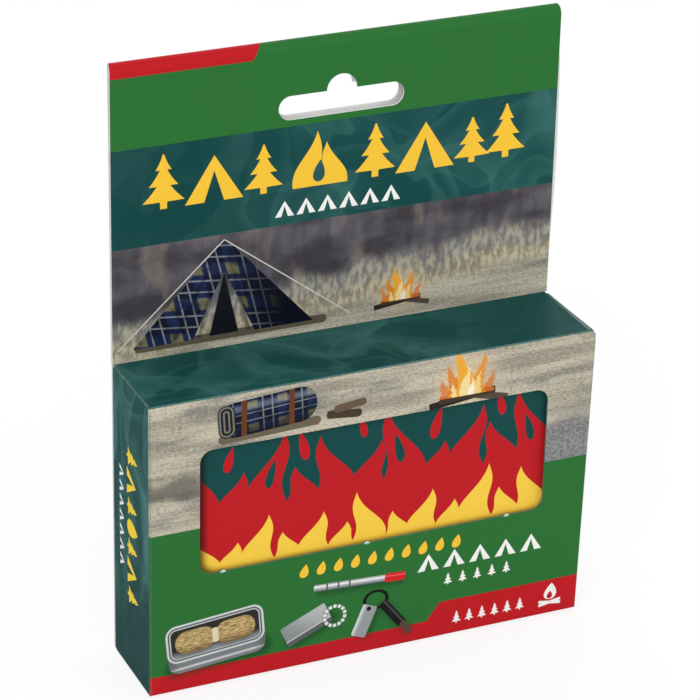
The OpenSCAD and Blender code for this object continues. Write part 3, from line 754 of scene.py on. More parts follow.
@dataclass(frozen=True)
class PrintedBoard(Finish):
    """Printed and varnished outer face of a board panel.

    Heights on the front and the header are counted from the base, and places across
    from the middle, all in millimetres.
    """

    panel: Panel = Panel.FRONT
    front_top: float = 77.6
    front_side: float = 56.95
    green_top: float = 43.7
    red_top: tuple[float, float] = (5.2, 9.9)
    red_step: tuple[float, float] = (15.4, 3.6)
    nicks: tuple[float, ...] = (-38.6, -1.2, 36.3)
    nick_level: float = 31.1
    smoke_foot: float = 106.8
    smoke_top: float = 131.6
    corner_foot: float = 149.2
    back_foot: float = 9.9

    def front(self, g: Graph, at: Wire) -> Picture:
        """Prints the front: meadow above green, with small motifs and a stepped foot.

        Args:
            g: The material's graph.
            at: Place on the flat board.

        Returns:
            The front's inks.
        """
        p = Picture(g, at, GREEN)
        self.meadow(p)
        self.camp(p)
        p.campfire(24.0, 65.0, 12.0)
        p.row(Motif.DROP, YELLOW, -20.0, 25.0, 4.5, 24.6, 3.6, 2.3, 0.7)
        p.row(Motif.TENT, WHITE, 12.0, 47.0, 7.0, 19.6, 4.6, 5.8)
        p.row(Motif.PINE, WHITE, 19.0, 39.0, 4.0, 14.6, 3.2, 2.2)
        self.red_foot(p)
        self.open_tin(p)
        self.blow_tube(p)
        self.magnesium(p)
        self.rod_and_striker(p)
        # White fibres where the window's nicks were broken out
        near = abs(p.x - self.nicks[0])
        for place in self.nicks[1:]:
            near = g.math("MINIMUM", near, abs(p.x - place))
        torn = g.smooth(near, 1.0, 0.4) * g.smooth(abs(p.z - self.nick_level), 0.75, 0.2)
        p.lay(ink("DDE4DA"), torn)
        return p

    def meadow(self, p: Picture) -> None:
        """Prints the front's meadow, with gravel at its right and dusk at its left.

        Args:
            p: The front's inks.
        """
        g = p.g
        grass = g.use(MEADOW, Vector=p.vector, Treeline=120.0, Shade=0.7)["Color"]
        p.lay(grass, p.above(self.green_top))
        gravel = g.noise(p.vector, 1.3, 2, 0.7)
        shade = g.mix(g.smooth(gravel, 0.35, 0.65), ink("63666E"), ink("94959A"))
        wander = g.noise(p.vector, 0.12, 2)
        right = g.smooth(p.x + wander * 10.0, 44.0, 52.0) * g.smooth(p.z + wander * 8.0, 62.0, 56.0)
        p.lay(shade, p.above(self.green_top) * right * 0.85)
        dusk = g.smooth(abs(p.z - 58.5 + wander * 6.0), 4.5, 1.0) * g.smooth(p.x, -38.0, -47.0)
        p.lay(ink("55524D"), dusk * 0.75)

    def camp(self, p: Picture) -> None:
        """Prints a rolled plaid blanket with two straps, and two logs beside it.

        Args:
            p: The front's inks.
        """
        g = p.g
        roll = p.bar_at(-27.5, 71.2, 12.5, 4.6, 4.4, 4)
        cloth = g.vector(roll["Along"], roll["Over"] * 1.25)
        p.bar(ink("6E6553"), -27.0, 66.4, 13.0, 1.2, 1.2, 2)
        p.lay(g.use(PLAID, Vector=cloth, Pitch=7.5)["Color"], roll["Mask"])
        p.lay(ink("0D1220"), roll["Mask"] * g.smooth(roll["Over"], 0.5, -4.5) * 0.8)
        p.lay(ink("B9C2D6"), roll["Mask"] * g.smooth(abs(roll["Over"] - 2.6), 1.3, 0.2) * 0.22)
        for strap in (-33.5, -21.5):
            p.lay(ink("6B3F22"), g.smooth(abs(p.x - strap), 0.75, 0.6) * roll["Mask"])
        coil = p.bar(ink("1A2038"), -37.9, 70.5, 2.2, 4.3, 2.15, 4)
        turns = g.smooth(abs(g.math("FRACT", coil["Distance"] * 0.95) - 0.5), 0.3, 0.12)
        p.lay(ink("8C8A6A"), turns * g.smooth(coil["Distance"], -0.1, -0.4) * 0.8)
        p.bar(ink("4C3D31"), -8.0, 67.2, 4.6, 1.1, 1.0, -6)
        p.bar(ink("6A5848"), -6.5, 69.2, 4.2, 1.0, 0.9, 7)

    def red_foot(self, p: Picture) -> None:
        """Prints the red foot: low at the left, then a slanted step, with its motifs.

        Args:
            p: The front's inks.
        """
        low, high = self.red_top
        start, length = self.red_step
        ramp = p.g.clamp((p.x - start) / length)
        p.lay(RED, p.g.edge(ramp * (high - low) + low - p.z))
        p.row(Motif.PINE, WHITE, 22.0, 43.0, 3.5, 3.0, 3.4, 2.3)
        fire = 49.6
        p.motif(Motif.DROP, WHITE, fire, 4.2, 4.6, 3.4, 0.4)
        p.motif(Motif.DROP, RED, fire - 0.1, 4.4, 2.2, 1.5, 0.2)
        for turn in (10, -10):
            p.bar(WHITE, fire, 3.3, 3.1, 0.4, 0.3, turn)

    def open_tin(self, p: Picture) -> None:
        """Prints the open tin with its side wall, rim and tied hank.

        Args:
            p: The front's inks.
        """
        g, turn = p.g, 5
        p.shadow(-39.6, 7.4, 13.6, 2.6, turn)
        wall = p.bar(ink("7E8386"), -40.2, 11.4, 12.5, 5.6, 2.8, turn)
        p.lay(ink("D9DCDE"), wall["Mask"] * g.smooth(abs(wall["Over"] + 4.4), 0.5, 0.1) * 0.8)
        p.lay(ink("4A4F52"), wall["Mask"] * g.smooth(abs(wall["Along"]), 9.0, 12.4) * 0.5)
        tin = p.bar(ink("D5D8DA"), -40.5, 13.9, 12.6, 5.2, 2.8, turn)
        inside = g.smooth(tin["Distance"], -1.1, -1.35)
        p.lay(ink("5C6164"), g.smooth(abs(tin["Distance"] + 0.75), 0.3, 0.12))
        p.lay(ink("33302B"), inside)
        p.lay(ink("8B8F91"), inside * g.smooth(tin["Over"], -1.6, -3.6))
        hank = g.noise(g.vector(tin["Along"], tin["Over"]), (0.5, 3.4, 1.0), 4, 0.7)
        straw = g.mix(g.smooth(hank, 0.36, 0.64), ink("7F6033"), ink("E2C98F"))
        for middle, rise in ((-45.7, -0.5), (-35.3, 0.4)):
            p.shadow(middle, 13.0 + rise, 4.6, 2.6, turn, 0.5)
            lobe = p.bar_at(middle, 13.9 + rise, 5.1, 3.1, 3.0, turn)
            p.lay(straw, g.smooth(lobe["Distance"] + (hank - 0.5) * 1.4, 0.12, -0.12))
            p.lay(ink("4E391D"), lobe["Mask"] * g.smooth(lobe["Over"], -0.8, -3.0) * 0.6)
        p.bar(ink("E8D9B4"), -40.5, 13.8, 0.8, 2.0, 0.4, turn)

    def blow_tube(self, p: Picture) -> None:
        """Prints the blow tube with its section rings and red mouthpiece.

        Args:
            p: The front's inks.
        """
        g, turn = p.g, -3
        p.shadow(-2.4, 19.2, 11.5, 1.0, turn, 0.5)
        tube = p.bar(ink("AEB3B6"), -4.5, 20.4, 10.5, 0.95, 0.5, turn)
        p.lay(ink("F7F8F8"), tube["Mask"] * g.smooth(abs(tube["Over"] - 0.3), 0.4, 0.1))
        p.lay(ink("565C60"), tube["Mask"] * g.smooth(tube["Over"], -0.3, -0.9))
        for ring in (-7.0, -4.0, -1.0):
            p.lay(ink("5A6063"), tube["Mask"] * g.smooth(abs(tube["Along"] - ring), 0.3, 0.15))
        rubber = p.bar(ink("D7282E"), 6.6, 19.8, 2.8, 1.2, 0.8, turn)
        p.lay(ink("F2696A"), rubber["Mask"] * g.smooth(abs(rubber["Over"] - 0.4), 0.35, 0.05) * 0.7)

    def magnesium(self, p: Picture) -> None:
        """Prints the magnesium bar, and its chain as beads round a circle.

        Args:
            p: The front's inks.
        """
        g, turn = p.g, 24
        p.shadow(-15.6, 9.8, 7.0, 2.2, turn)
        side = p.bar(ink("5F6366"), -16.6, 10.8, 6.3, 2.6, 0.4, turn)
        block = p.bar(ink("909496"), -17.0, 11.8, 6.3, 2.3, 0.4, turn)
        p.lay(ink("C3C7C9"), block["Mask"] * g.smooth(block["Along"] + block["Over"], -6.0, 6.0) * 0.8)
        p.lay(ink("E1E3E4"), side["Mask"] * g.smooth(abs(block["Over"] + 2.2), 0.25, 0.08) * 0.7)
        across, over, radius, beads = p.x + 9.3, p.z - 12.2, 2.7, 14
        links = abs(g.math("SQRT", across ** 2.0 + over ** 2.0) - radius)
        share = g.math("ARCTAN2", over, across) * (beads / (2 * math.pi))
        bead = abs(g.math("FRACT", share) - 0.5)
        p.lay(ink("1E4824"), g.smooth(links, 0.9, 0.4) * 0.5)
        p.lay(ink("E9EBEC"), g.smooth(links, 0.55, 0.35) * g.smooth(bead, 0.42, 0.3))

    def rod_and_striker(self, p: Picture) -> None:
        """Prints the ferro rod and the striker, joined by their cord.

        Args:
            p: The front's inks.
        """
        g, rod, blade = p.g, -52, 68
        p.shadow(7.0, 8.2, 6.4, 1.4, rod, 0.5)
        p.shadow(-0.4, 8.2, 4.6, 2.0, blade, 0.5)
        loop = abs(g.math("SQRT", ((p.x - 1.6) * 0.8) ** 2.0 + (p.z - 14.4) ** 2.0) - 2.4)
        p.lay(ink("151515"), g.smooth(loop, 0.45, 0.3))
        grip = p.bar(ink("1A1A1B"), 6.2, 9.6, 4.6, 1.25, 0.6, rod)
        p.lay(ink("4A4A4D"), grip["Mask"] * g.smooth(abs(grip["Over"] - 0.5), 0.4, 0.1))
        p.bar(ink("5B4A42"), 9.9, 4.9, 2.0, 0.8, 0.4, rod)
        plate = p.bar(ink("9CA0A3"), -1.4, 9.0, 4.4, 2.0, 0.5, blade)
        p.lay(ink("DADDDF"), plate["Mask"] * g.smooth(plate["Over"], 0.6, 1.8))
        p.lay(ink("1A1A1B"), g.smooth((p.x + 0.2) ** 2.0 + (p.z - 12.2) ** 2.0, 0.5, 0.25))

    def header(self, g: Graph, at: Wire) -> Picture:
        """Prints the header: red corner bar, green, dark smoke, and the meadow below.

        Args:
            g: The material's graph.
            at: Place on the flat board.

        Returns:
            The header's inks.
        """
        p = Picture(g, at, g.use(MEADOW, Vector=at, Treeline=93.5, Slope=0.09)["Color"])
        self.ridge_tent(p)
        p.campfire(17.0, 81.2, 8.5)
        p.lay(g.use(SMOKE, Vector=at)["Color"], p.above(self.smoke_foot))
        p.lay(ink("124543"), p.above(self.smoke_foot) * g.smooth(p.x, 10.0, -48.0) * 0.7)
        p.lay(GREEN, p.above(self.smoke_top))
        slant = g.edge((p.z - self.corner_foot) * 0.6 - p.x - 22.2)
        p.lay(RED, p.above(self.corner_foot) * slant)
        # Bold camp frieze, and a small row under it
        for kind, middle, width, height, sway in (
                (Motif.PINE, -44.2, 9.6, 13.6, 0.0), (Motif.TENT, -31.6, 14.6, 11.6, 0.0),
                (Motif.PINE, -19.2, 9.0, 12.4, 0.0), (Motif.TONGUE, -7.6, 8.4, 14.0, 2.0),
                (Motif.TONGUE, -1.6, 7.6, 11.0, -1.6), (Motif.PINE, 9.4, 9.6, 13.6, 0.0),
                (Motif.TENT, 22.4, 15.4, 12.2, 0.0), (Motif.PINE, 34.8, 8.8, 11.6, 0.0),
                (Motif.PINE, 43.8, 9.6, 13.8, 0.0)):
            p.motif(kind, YELLOW, middle, 115.6, height, width, sway)
        p.motif(Motif.DROP, g.use(SMOKE, Vector=at)["Color"], -5.2, 116.6, 5.6, 3.0, 0.5)
        p.row(Motif.TENT, WHITE, -16.5, 16.5, 5.5, 108.9, 4.0, 4.9)
        return p

    def ridge_tent(self, p: Picture, middle: float = -29.0, foot: float = 80.6, height: float = 25.4,
                   width: float = 46.0) -> None:
        """Prints a plaid ridge tent on its ground sheet, with pleats, a door and guy lines.

        A pleat or a guy line is what lies near a straight line from the ridge down to a
        place at the foot.

        Args:
            p: The picture to print on.
            middle: Place of its middle across.
            foot: Height of its foot.
            height: Its height.
            width: Its width at the foot.
        """
        g = p.g
        ridge = foot + height
        across, rise = p.x - middle, p.z - foot
        leaning = g.vector(p.x + (p.z - 80.0) * 0.25, p.z + p.x * 0.12)
        plaid = g.use(PLAID, Vector=leaning, Pitch=9.0)["Color"]
        dark = g.mix(g.smooth(p.x + p.z * 0.2, -12.0, 4.0), plaid, ink("0B0F1C"))
        p.bar(ink("5F584A"), middle + 2.0, foot, 24.6, 1.1, 1.1)
        for cloth in (plaid, dark):
            p.motif(Motif.TENT, cloth, middle, foot, height, width)
        for pleat in (-13.0, -6.5, 6.5, 14.0):
            fall = abs(across - (ridge - p.z) * (pleat / height))
            p.lay(ink("0C1122"), g.smooth(fall, 1.1, 0.0) * g.clamp((ridge - 1.0 - p.z) / 12.0)
                  * p.above(foot + 0.2) * 0.55)
        p.lay(ink("12151C"), g.edge(3.8 - abs(across) - rise * 0.23, 0.2) * g.clamp((rise - 0.2) / 0.2))
        top = ridge - 0.6
        for side, reach in ((-1, 27.0), (1, 33.0)):
            fall = abs(across * side - (top - p.z) * (reach / (top - foot)))
            p.lay(ink("D8D4C8"), g.smooth(fall, 0.32, 0.14) * g.clamp(rise / 0.2)
                  * p.above(foot) * (1.0 - p.above(top)))

    def top(self, g: Graph, at: Wire) -> Picture:
        """Prints the top: dark smoke, calmer at the right, with a painted shade along the back where the
        header stands on it.

        Args:
            g: The material's graph.
            at: Place on the flat board.

        Returns:
            The panel's inks.
        """
        x, y, _ = g.parts(at)
        p = Picture(g, at, g.use(SMOKE, Vector=g.vector(x, y * 1.5 + 40.0))["Color"])
        p.lay(TEAL, g.smooth(p.x, 4.0, 44.0) * 0.75)
        # Painted shade along the back, where the header stands on the top
        p.lay(ink("0B2A28"), p.above(102.0, 0.5))
        return p

    def end(self, g: Graph, at: Wire) -> Picture:
        """Prints an end closure: dark smoke with two upright rows, read from the top.

        Args:
            g: The material's graph.
            at: Place on the flat board, from the front back and up.

        Returns:
            The closure's inks, on coordinates turned so that motifs stand on the side.
        """
        y, z, _ = g.parts(at)
        turned = g.vector(0.0 - z, 0.0 - y)
        drift = g.vector(y * 1.4 + 210.0, z + 30.0)
        p = Picture(g, turned, g.use(SMOKE, Vector=drift, Light=ink("4B7E79"))["Color"])
        p.lay(ink("0A3E3C"), g.smooth(z + y * 0.4, 38.0, 10.0) * 0.88)
        for kind, middle, width, height in (
                (Motif.PINE, -58.6, 4.6, 7.0), (Motif.TENT, -51.8, 7.2, 6.0), (Motif.PINE, -45.2, 4.4, 6.4),
                (Motif.DROP, -39.7, 4.4, 7.0), (Motif.PINE, -34.2, 4.4, 6.6), (Motif.TENT, -27.6, 7.2, 6.2),
                (Motif.PINE, -21.0, 4.6, 7.0)):
            p.motif(kind, ink("FFDD3F"), middle, -2.4, height, width)
        p.row(Motif.TENT, WHITE, -54.0, -26.0, 4.0, -7.4, 2.9, 3.4)
        return p

    def back(self, g: Graph, at: Wire) -> Picture:
        """Prints the back: green with a dark smoke field.

        Args:
            g: The material's graph.
            at: Place on the flat board.

        Returns:
            The panel's inks.
        """
        p = Picture(g, at, GREEN)
        field = p.above(self.back_foot) * (1.0 - p.above(self.smoke_top))
        p.lay(g.use(SMOKE, Vector=at)["Color"], field)
        return p

    def base(self, g: Graph, at: Wire) -> Picture:
        """Prints the base: green, with the red foot carried round its front edge.

        Args:
            g: The material's graph.
            at: Place on the flat board.

        Returns:
            The panel's inks.
        """
        p = Picture(g, at, GREEN)
        p.lay(RED, 1.0 - p.above(-8.0))
        return p

    def worn_and_highlit_folds(self, p: Picture, scuff: Wire) -> None:
        """Cracks the ink of the front's upper fold and of its two side folds, and paints a highlight along
        the upper fold's ridge.

        Args:
            p: The front's inks.
            scuff: The board's scuffs.
        """
        g = p.g
        p.lay(TEAL, p.above(self.front_top - 0.25))
        # Pale line along the upper fold: cracked ink, and a painted highlight of the fold
        ridge = g.smooth(abs(p.z - self.front_top - 0.05), 0.3, 0.08)
        p.lay(CREASE_WEAR_AND_HIGHLIGHT, ridge * (scuff * 0.35 + 0.4))
        sides = g.smooth(abs(abs(p.x) - self.front_side), 0.3, 0.1)
        p.lay(ink("5C7A76"), sides * (scuff * 0.3 + 0.3))

    def dress(self, g: Graph, skin: bpy.types.Node) -> None:
        """Lays the inks, wears the folds and paints a highlight on the upper one, and adds varnish over the
        board's fibres.

        Args:
            g: The material's graph.
            skin: Its Principled node.
        """
        at = g.blank()
        p = getattr(self, self.panel.value)(g, at)
        fibres = g.use(BOARD, Vector=at)
        if self.panel is Panel.FRONT:
            self.worn_and_highlit_folds(p, fibres["Scuff"])
        tone = g.mix(fibres["Tone"], (0.0, 0.0, 0.0), (1.0, 1.0, 1.0))
        toned = g.add("ShaderNodeMix", {0: 1.0, 6: p.ink, 7: tone}, data_type="RGBA", blend_type="MULTIPLY")
        g.feed(skin.inputs["Base Color"], Wire(g, toned.outputs[2]))
        g.feed(skin.inputs["Roughness"], fibres["Wave"] * 0.16 + (self.roughness - 0.08))
        self.bump(g, skin, fibres["Height"], 0.02, 0.5)


@dataclass(frozen=True)
class RawBoard(Finish):
    """Unprinted face or cut edge of the board."""

    colour: str = "F6F6F5"
    shade: str = "E9E9E7"
    mapped: bool = True

    def dress(self, g: Graph, skin: bpy.types.Node) -> None:
        """Shows felted fibres on bare board.

        Args:
            g: The material's graph.
            skin: Its Principled node.
        """
        fibres = g.use(BOARD, Vector=g.blank() if self.mapped else g.place())
        speck = g.clamp((fibres["Height"] - 0.45) * 3.0)
        g.feed(skin.inputs["Base Color"], g.mix(speck, ink(self.shade), ink(self.colour)))
        g.feed(skin.inputs["Roughness"], fibres["Wave"] * 0.1 + self.roughness)
        self.bump(g, skin, fibres["Height"], 0.04)


# The lid's flames, as middle, width, height and sway, and its drops with their foot
RED_TONGUES = (
    (-53.0, 9.5, 13.0, 2.4), (-44.6, 10.5, 17.5, -3.4), (-35.6, 9.0, 10.5, 2.6), (-27.0, 11.0, 19.5, 4.4),
    (-17.8, 8.5, 9.5, -2.0), (-9.6, 10.5, 16.5, -3.8), (-0.6, 9.5, 12.5, 3.2), (8.4, 11.5, 20.5, -4.4),
    (17.4, 8.5, 9.0, 2.0), (25.2, 10.0, 17.0, 4.2), (34.2, 9.5, 12.0, -2.8), (43.0, 11.0, 19.0, -4.0),
    (52.0, 9.5, 12.0, 2.2),
)
YELLOW_TONGUES = (
    (-51.0, 9.0, 8.0, 1.8), (-43.2, 8.5, 9.0, -2.4), (-36.0, 7.0, 6.5, 1.6), (-29.2, 9.0, 12.5, 2.8),
    (-21.4, 7.5, 7.0, -1.4), (-14.6, 8.5, 10.5, 2.4), (-7.4, 7.0, 6.5, 1.4), (-0.4, 9.0, 14.0, -3.2),
    (7.4, 7.0, 7.0, -1.4), (14.0, 8.5, 11.0, 2.6), (21.2, 7.0, 7.0, 1.4), (28.2, 9.5, 15.0, 3.4),
    (36.2, 7.5, 8.0, -1.6), (43.2, 9.0, 12.5, -2.8), (51.0, 9.0, 8.5, 2.0),
)
RED_DROPS = (
    (-37.2, 56.4, 2.4, 6.6, 1.5), (-17.2, 56.0, 2.6, 8.0, -1.6), (-2.0, 59.2, 2.0, 5.6, -1.1),
    (16.4, 55.2, 2.7, 8.4, 1.8), (34.6, 58.4, 2.2, 6.4, -1.3), (-50.2, 57.0, 2.2, 6.0, 1.2),
)
DARK_DROPS = ((-26.6, 50.2, 2.2, 7.6, 1.8), (7.8, 50.6, 2.4, 8.0, -1.8), (42.6, 50.0, 2.2, 7.4, -1.6))


@dataclass(frozen=True)
class FlameLid(Finish):
    """Printed and lacquered tinplate with rising flames.

    The opening is the window's width, height and corner radius. The painted shadow that
    the board casts on the lid leaves clear an opening's outline too, with its middle at
    shaded. The flames end where the lid's edge turns back, at print_end.
    """

    print_end: float = -9.2
    opening: tuple[float, float, float] = (90.7, 33.2, 3.3)
    shaded: tuple[float, float] = (2.9, 47.4)
    red_foot: float = 45.2
    yellow_foot: float = 30.6
    lap: float = 0.3

    def flames(self, p: Picture, colour: Colour, foot: float,
               tongues: Sequence[tuple[float, float, float, float]]) -> None:
        """Lays a row of tongues, and the same ink below their feet.

        Args:
            p: The lid's inks.
            colour: The row's ink.
            foot: Height of the feet.
            tongues: Middle, width, height and sway of each.
        """
        for middle, width, height, sway in tongues:
            p.motif(Motif.TONGUE, colour, middle, foot, height, width, sway)
        p.lay(colour, 1.0 - p.above(foot + self.lap))

    def dress(self, g: Graph, skin: bpy.types.Node) -> None:
        """Lays red tongues, drops and hollows on dark green, yellow tongues below, and the board's painted
        shadow.

        Args:
            g: The material's graph.
            skin: Its Principled node.
        """
        place = g.place()
        x, y, z = g.parts(place)
        p = Picture(g, g.vector(x, z), TEAL)
        self.flames(p, RED, self.red_foot, RED_TONGUES)
        for colour, drops in ((RED, RED_DROPS), (TEAL, DARK_DROPS)):
            for middle, foot, width, height, sway in drops:
                p.motif(Motif.DROP, colour, middle, foot, height, width, sway)
        self.flames(p, ink("FFD34B"), self.yellow_foot, YELLOW_TONGUES)
        p.lay(TEAL, g.clamp((y - self.print_end) / 0.3))
        # Painted shadow of the board on the lid, along the window's left and lower edges
        width, height, corner = self.opening
        shade = p.bar_at(*self.shaded, width / 2, height / 2, corner)["Distance"]
        p.lay(ink("140A08"), g.smooth(shade, -1.0, 1.6) * 0.78)
        peel = g.noise(place, 0.5, 2)
        grain = g.noise(place, 3.0, 2)
        g.feed(skin.inputs["Base Color"], p.ink)
        g.feed(skin.inputs["Roughness"], grain * 0.08 + self.roughness)
        self.bump(g, skin, peel, 0.02, 0.5)


@dataclass(frozen=True)
class Metal(Finish):
    """Bare metal with brushed lines, smudges and scratches."""

    bright: str = "C6C8CA"
    dull: str = "9A9C9F"
    relief: float = 0.01

    def dress(self, g: Graph, skin: bpy.types.Node) -> None:
        """Mixes bright and dull metal by the smudges, and cuts the lines into it.

        Args:
            g: The material's graph.
            skin: Its Principled node.
        """
        worn = g.use(WORN, Vector=g.place())
        tone = g.smooth(worn["Smudge"], 0.35, 0.65)
        colour = g.mix(tone, ink(self.dull), ink(self.bright))
        g.feed(skin.inputs["Base Color"], g.mix(worn["Scratch"] * 0.4, colour, ink(self.bright)))
        g.feed(skin.inputs["Roughness"], self.roughness + (1.0 - tone) * 0.14)
        self.bump(g, skin, worn["Height"], self.relief)


@dataclass(frozen=True)
class Moulded(Finish):
    """Moulded plastic or rubber with a fine spark texture."""

    colour: str = "141415"
    pale: str = "2A2A2C"
    relief: float = 0.03

    def dress(self, g: Graph, skin: bpy.types.Node) -> None:
        """Gives a fine skin and paler rubbed places.

        Args:
            g: The material's graph.
            skin: Its Principled node.
        """
        place = g.place()
        spark = g.noise(place, 4.0, 2, 0.6)
        rub = g.noise(place, 0.3, 3, 0.6)
        rubbed = g.smooth(rub, 0.5, 0.72) * 0.6
        g.feed(skin.inputs["Base Color"], g.mix(rubbed, ink(self.colour), ink(self.pale)))
        g.feed(skin.inputs["Roughness"], rub * 0.2 + (self.roughness - 0.1))
        self.bump(g, skin, spark, self.relief)


@dataclass(frozen=True)
class Fibre(Finish):
    """Loose or twisted plant fibre, or braided cord."""

    pale: str = "D8BE8A"
    dark: str = "8A6A3E"
    braid: bool = False

    def dress(self, g: Graph, skin: bpy.types.Node) -> None:
        """Runs pale and dark fibres along X, or crosses them as a braid, darker in the low places between
        strands: partly the fibres' own tone, partly painted shade.

        Args:
            g: The material's graph.
            skin: Its Principled node.
        """
        if self.braid:
            along, around, _ = g.parts(g.blank())
            one = g.math("SINE", along * 4.2 + around * (6 * math.pi))
            two = g.math("SINE", along * 4.2 - around * (6 * math.pi))
            strand = g.math("MAXIMUM", one, two)
        else:
            strand = g.noise(g.place(), (0.5, 3.5, 3.5), 4, 0.7)
        # Dark in the low places between strands: partly the fibres' own tone, partly painted shade
        raised = g.smooth(strand, 0.3, 0.7)
        g.feed(skin.inputs["Base Color"], g.mix(raised, ink(self.dark), ink(self.pale)))
        self.bump(g, skin, strand, 0.12, 0.6)


# Surfaces

def box_mm(node: str) -> tuple[np.ndarray, np.ndarray]:
    """Gives a CAD node's lowest and highest corners in millimetres."""
    low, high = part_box(node)
    return np.array(low) / MM, np.array(high) / MM


class Draft:
    """Vertices, faces, finishes and flat places gathered as arrays for one piece."""

    def __init__(self) -> None:
        """Starts empty."""
        self.points: list[np.ndarray] = []
        self.flat: list[np.ndarray] = []
        self.faces: list[np.ndarray] = []
        self.finish: list[np.ndarray] = []
        self.count = 0

    def vertices(self, points: np.ndarray, flat: np.ndarray | None = None) -> np.ndarray:
        """Adds a grid of points.

        Args:
            points: Places in millimetres, rows by columns by three.
            flat: Their places on the flat board, or nothing.

        Returns:
            The vertices' numbers, rows by columns.
        """
        rows, cols = points.shape[:2]
        self.points.append(points.reshape(-1, 3))
        self.flat.append((points[..., :2] if flat is None else flat).reshape(-1, 2))
        index = self.count + np.arange(rows * cols).reshape(rows, cols)
        self.count += rows * cols
        return index

    def quads(self, index: np.ndarray, finish: int = 0, flip: bool = False) -> None:
        """Adds the faces between neighbouring rows and columns.

        Args:
            index: Vertex numbers, rows by columns.
            finish: The faces' finish by number.
            flip: Whether they look the other way.
        """
        a, b, c, d = index[:-1, :-1], index[:-1, 1:], index[1:, 1:], index[1:, :-1]
        faces = np.stack([a, b, c, d], -1).reshape(-1, 4)
        self.faces.append(faces[:, ::-1] if flip else faces)
        self.finish.append(np.full(len(faces), finish))

    def board(self, outer: np.ndarray, normal: np.ndarray, flat: np.ndarray, thickness: float,
              closed: bool = False) -> None:
        """Adds a closed board: its outer face, its inner face, and its cut edges.

        The inner face lies one thickness behind the outer one, along the normals.

        Args:
            outer: Outer face's points, rows by columns by three.
            normal: Unit normals there.
            flat: Places on the flat board there.
            thickness: Board thickness.
            closed: Whether the columns run round a hole and meet.
        """
        a = self.vertices(outer, flat)
        b = self.vertices(outer - thickness * normal, flat)
        if closed:
            a, b = np.hstack([a, a[:, :1]]), np.hstack([b, b[:, :1]])
        step_c = outer[:-1, 1:] - outer[:-1, :-1]
        step_r = outer[1:, :-1] - outer[:-1, :-1]
        turned = np.sum(np.cross(step_c, step_r) * normal[:-1, :-1]) < 0
        self.quads(a, 0, turned)
        self.quads(b, 1, not turned)
        self.quads(np.stack([a[0, ::-1], b[0, ::-1]]), 2, turned)
        self.quads(np.stack([a[-1], b[-1]]), 2, turned)
        if not closed:
            self.quads(np.stack([a[:, 0], b[:, 0]]), 2, turned)
            self.quads(np.stack([a[::-1, -1], b[::-1, -1]]), 2, turned)

    def skin(self, rings: np.ndarray, flat: np.ndarray | None = None) -> None:
        """Adds a closed round body: faces between its rings, and a fan over each end.

        Args:
            rings: Points, rings by corners by three. The corners run round the body
                with the clock, as it is seen from past its last ring.
            flat: Their flat places, or nothing.
        """
        index = self.vertices(rings, flat)
        self.quads(np.hstack([index, index[:, :1]]), 0, True)
        for end in (index[0], index[-1, ::-1]):
            pole = np.full(len(end) - 2, end[0])
            self.faces.append(np.stack([pole, end[1:-1], end[2:], np.full(len(pole), -1)], -1))
            self.finish.append(np.zeros(len(pole)))

    def tubes(self, paths: np.ndarray, radius: np.ndarray | float, sides: int) -> None:
        """Adds round tubes along paths, each closed at its ends.

        A ring stands square to the path at each point: its radius times the cosine and
        sine of each angle, along two unit vectors square to the path's direction.

        Args:
            paths: Points, tubes by points by three.
            radius: One radius, or tubes by points.
            sides: Corners of a ring.
        """
        run = np.gradient(paths, axis=1)
        run /= np.linalg.norm(run, axis=-1, keepdims=True)
        level = np.abs(run[..., 2:3]) < 0.8
        helper = np.where(level, np.array([0.0, 0.0, 1.0]), np.array([0.0, 1.0, 0.0]))
        side = np.cross(run, helper)
        side /= np.linalg.norm(side, axis=-1, keepdims=True)
        up = np.cross(side, run)
        angle = np.linspace(0, 2 * np.pi, sides, endpoint=False)
        reach = np.broadcast_to(radius, paths.shape[:2])[..., None, None]
        rings = paths[:, :, None] + reach * (np.cos(angle)[:, None] * side[:, :, None]
                                             + np.sin(angle)[:, None] * up[:, :, None])
        length = np.cumsum(np.linalg.norm(np.diff(paths, axis=1, prepend=paths[:, :1]), axis=-1), axis=1)
        flat = np.stack(np.broadcast_arrays(length[..., None], angle / (2 * np.pi)), -1)
        for points, places in zip(rings, flat):
            self.skin(points, places)

    def piece(self, name: str, finishes: Sequence[Finish], sharp: float = 38.0) -> bpy.types.Object:
        """Makes the object.

        Args:
            name: The piece's name.
            finishes: Its finishes by number.
            sharp: Angle between faces, in degrees, past which an edge is sharp.

        Returns:
            The object at the origin, with its place in its mesh.
        """
        points = np.concatenate(self.points) * MM
        faces = np.concatenate(self.faces)
        mesh = bpy.data.meshes.new(name)
        mesh.from_pydata(points.tolist(), [], [f[f >= 0].tolist() for f in faces])
        mesh.polygons.foreach_set("material_index", np.concatenate(self.finish).astype(np.int32))
        corner = np.empty(len(mesh.loops), np.int32)
        mesh.loops.foreach_get("vertex_index", corner)
        layer = mesh.uv_layers.new(name="blank")
        layer.data.foreach_set("uv", (np.concatenate(self.flat) * MM)[corner].astype(np.float32).ravel())
        for finish in finishes:
            mesh.materials.append(finish.material())
        mesh.shade_smooth()
        mesh.set_sharp_from_angle(angle=math.radians(sharp))
        mesh.update()
        made = bpy.data.objects.new(name, mesh)
        bpy.context.scene.collection.objects.link(made)
        return made


def place_piece(piece: bpy.types.Object, body: str, slot: str, *nodes: str) -> bpy.types.Object:
    """Rides a piece on its body, and lets it stand for its CAD nodes.

    Args:
        piece: The piece.
        body: The body that carries it.
        slot: Not used.
        nodes: The CAD nodes that it replaces.

    Returns:
        The piece.
    """
    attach(piece, body)
    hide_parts(*nodes)
    faces = len(piece.data.polygons)
    LOG.info("%s rides on %s for %s, %d faces", piece.name, body, ", ".join(nodes), faces)
    return piece


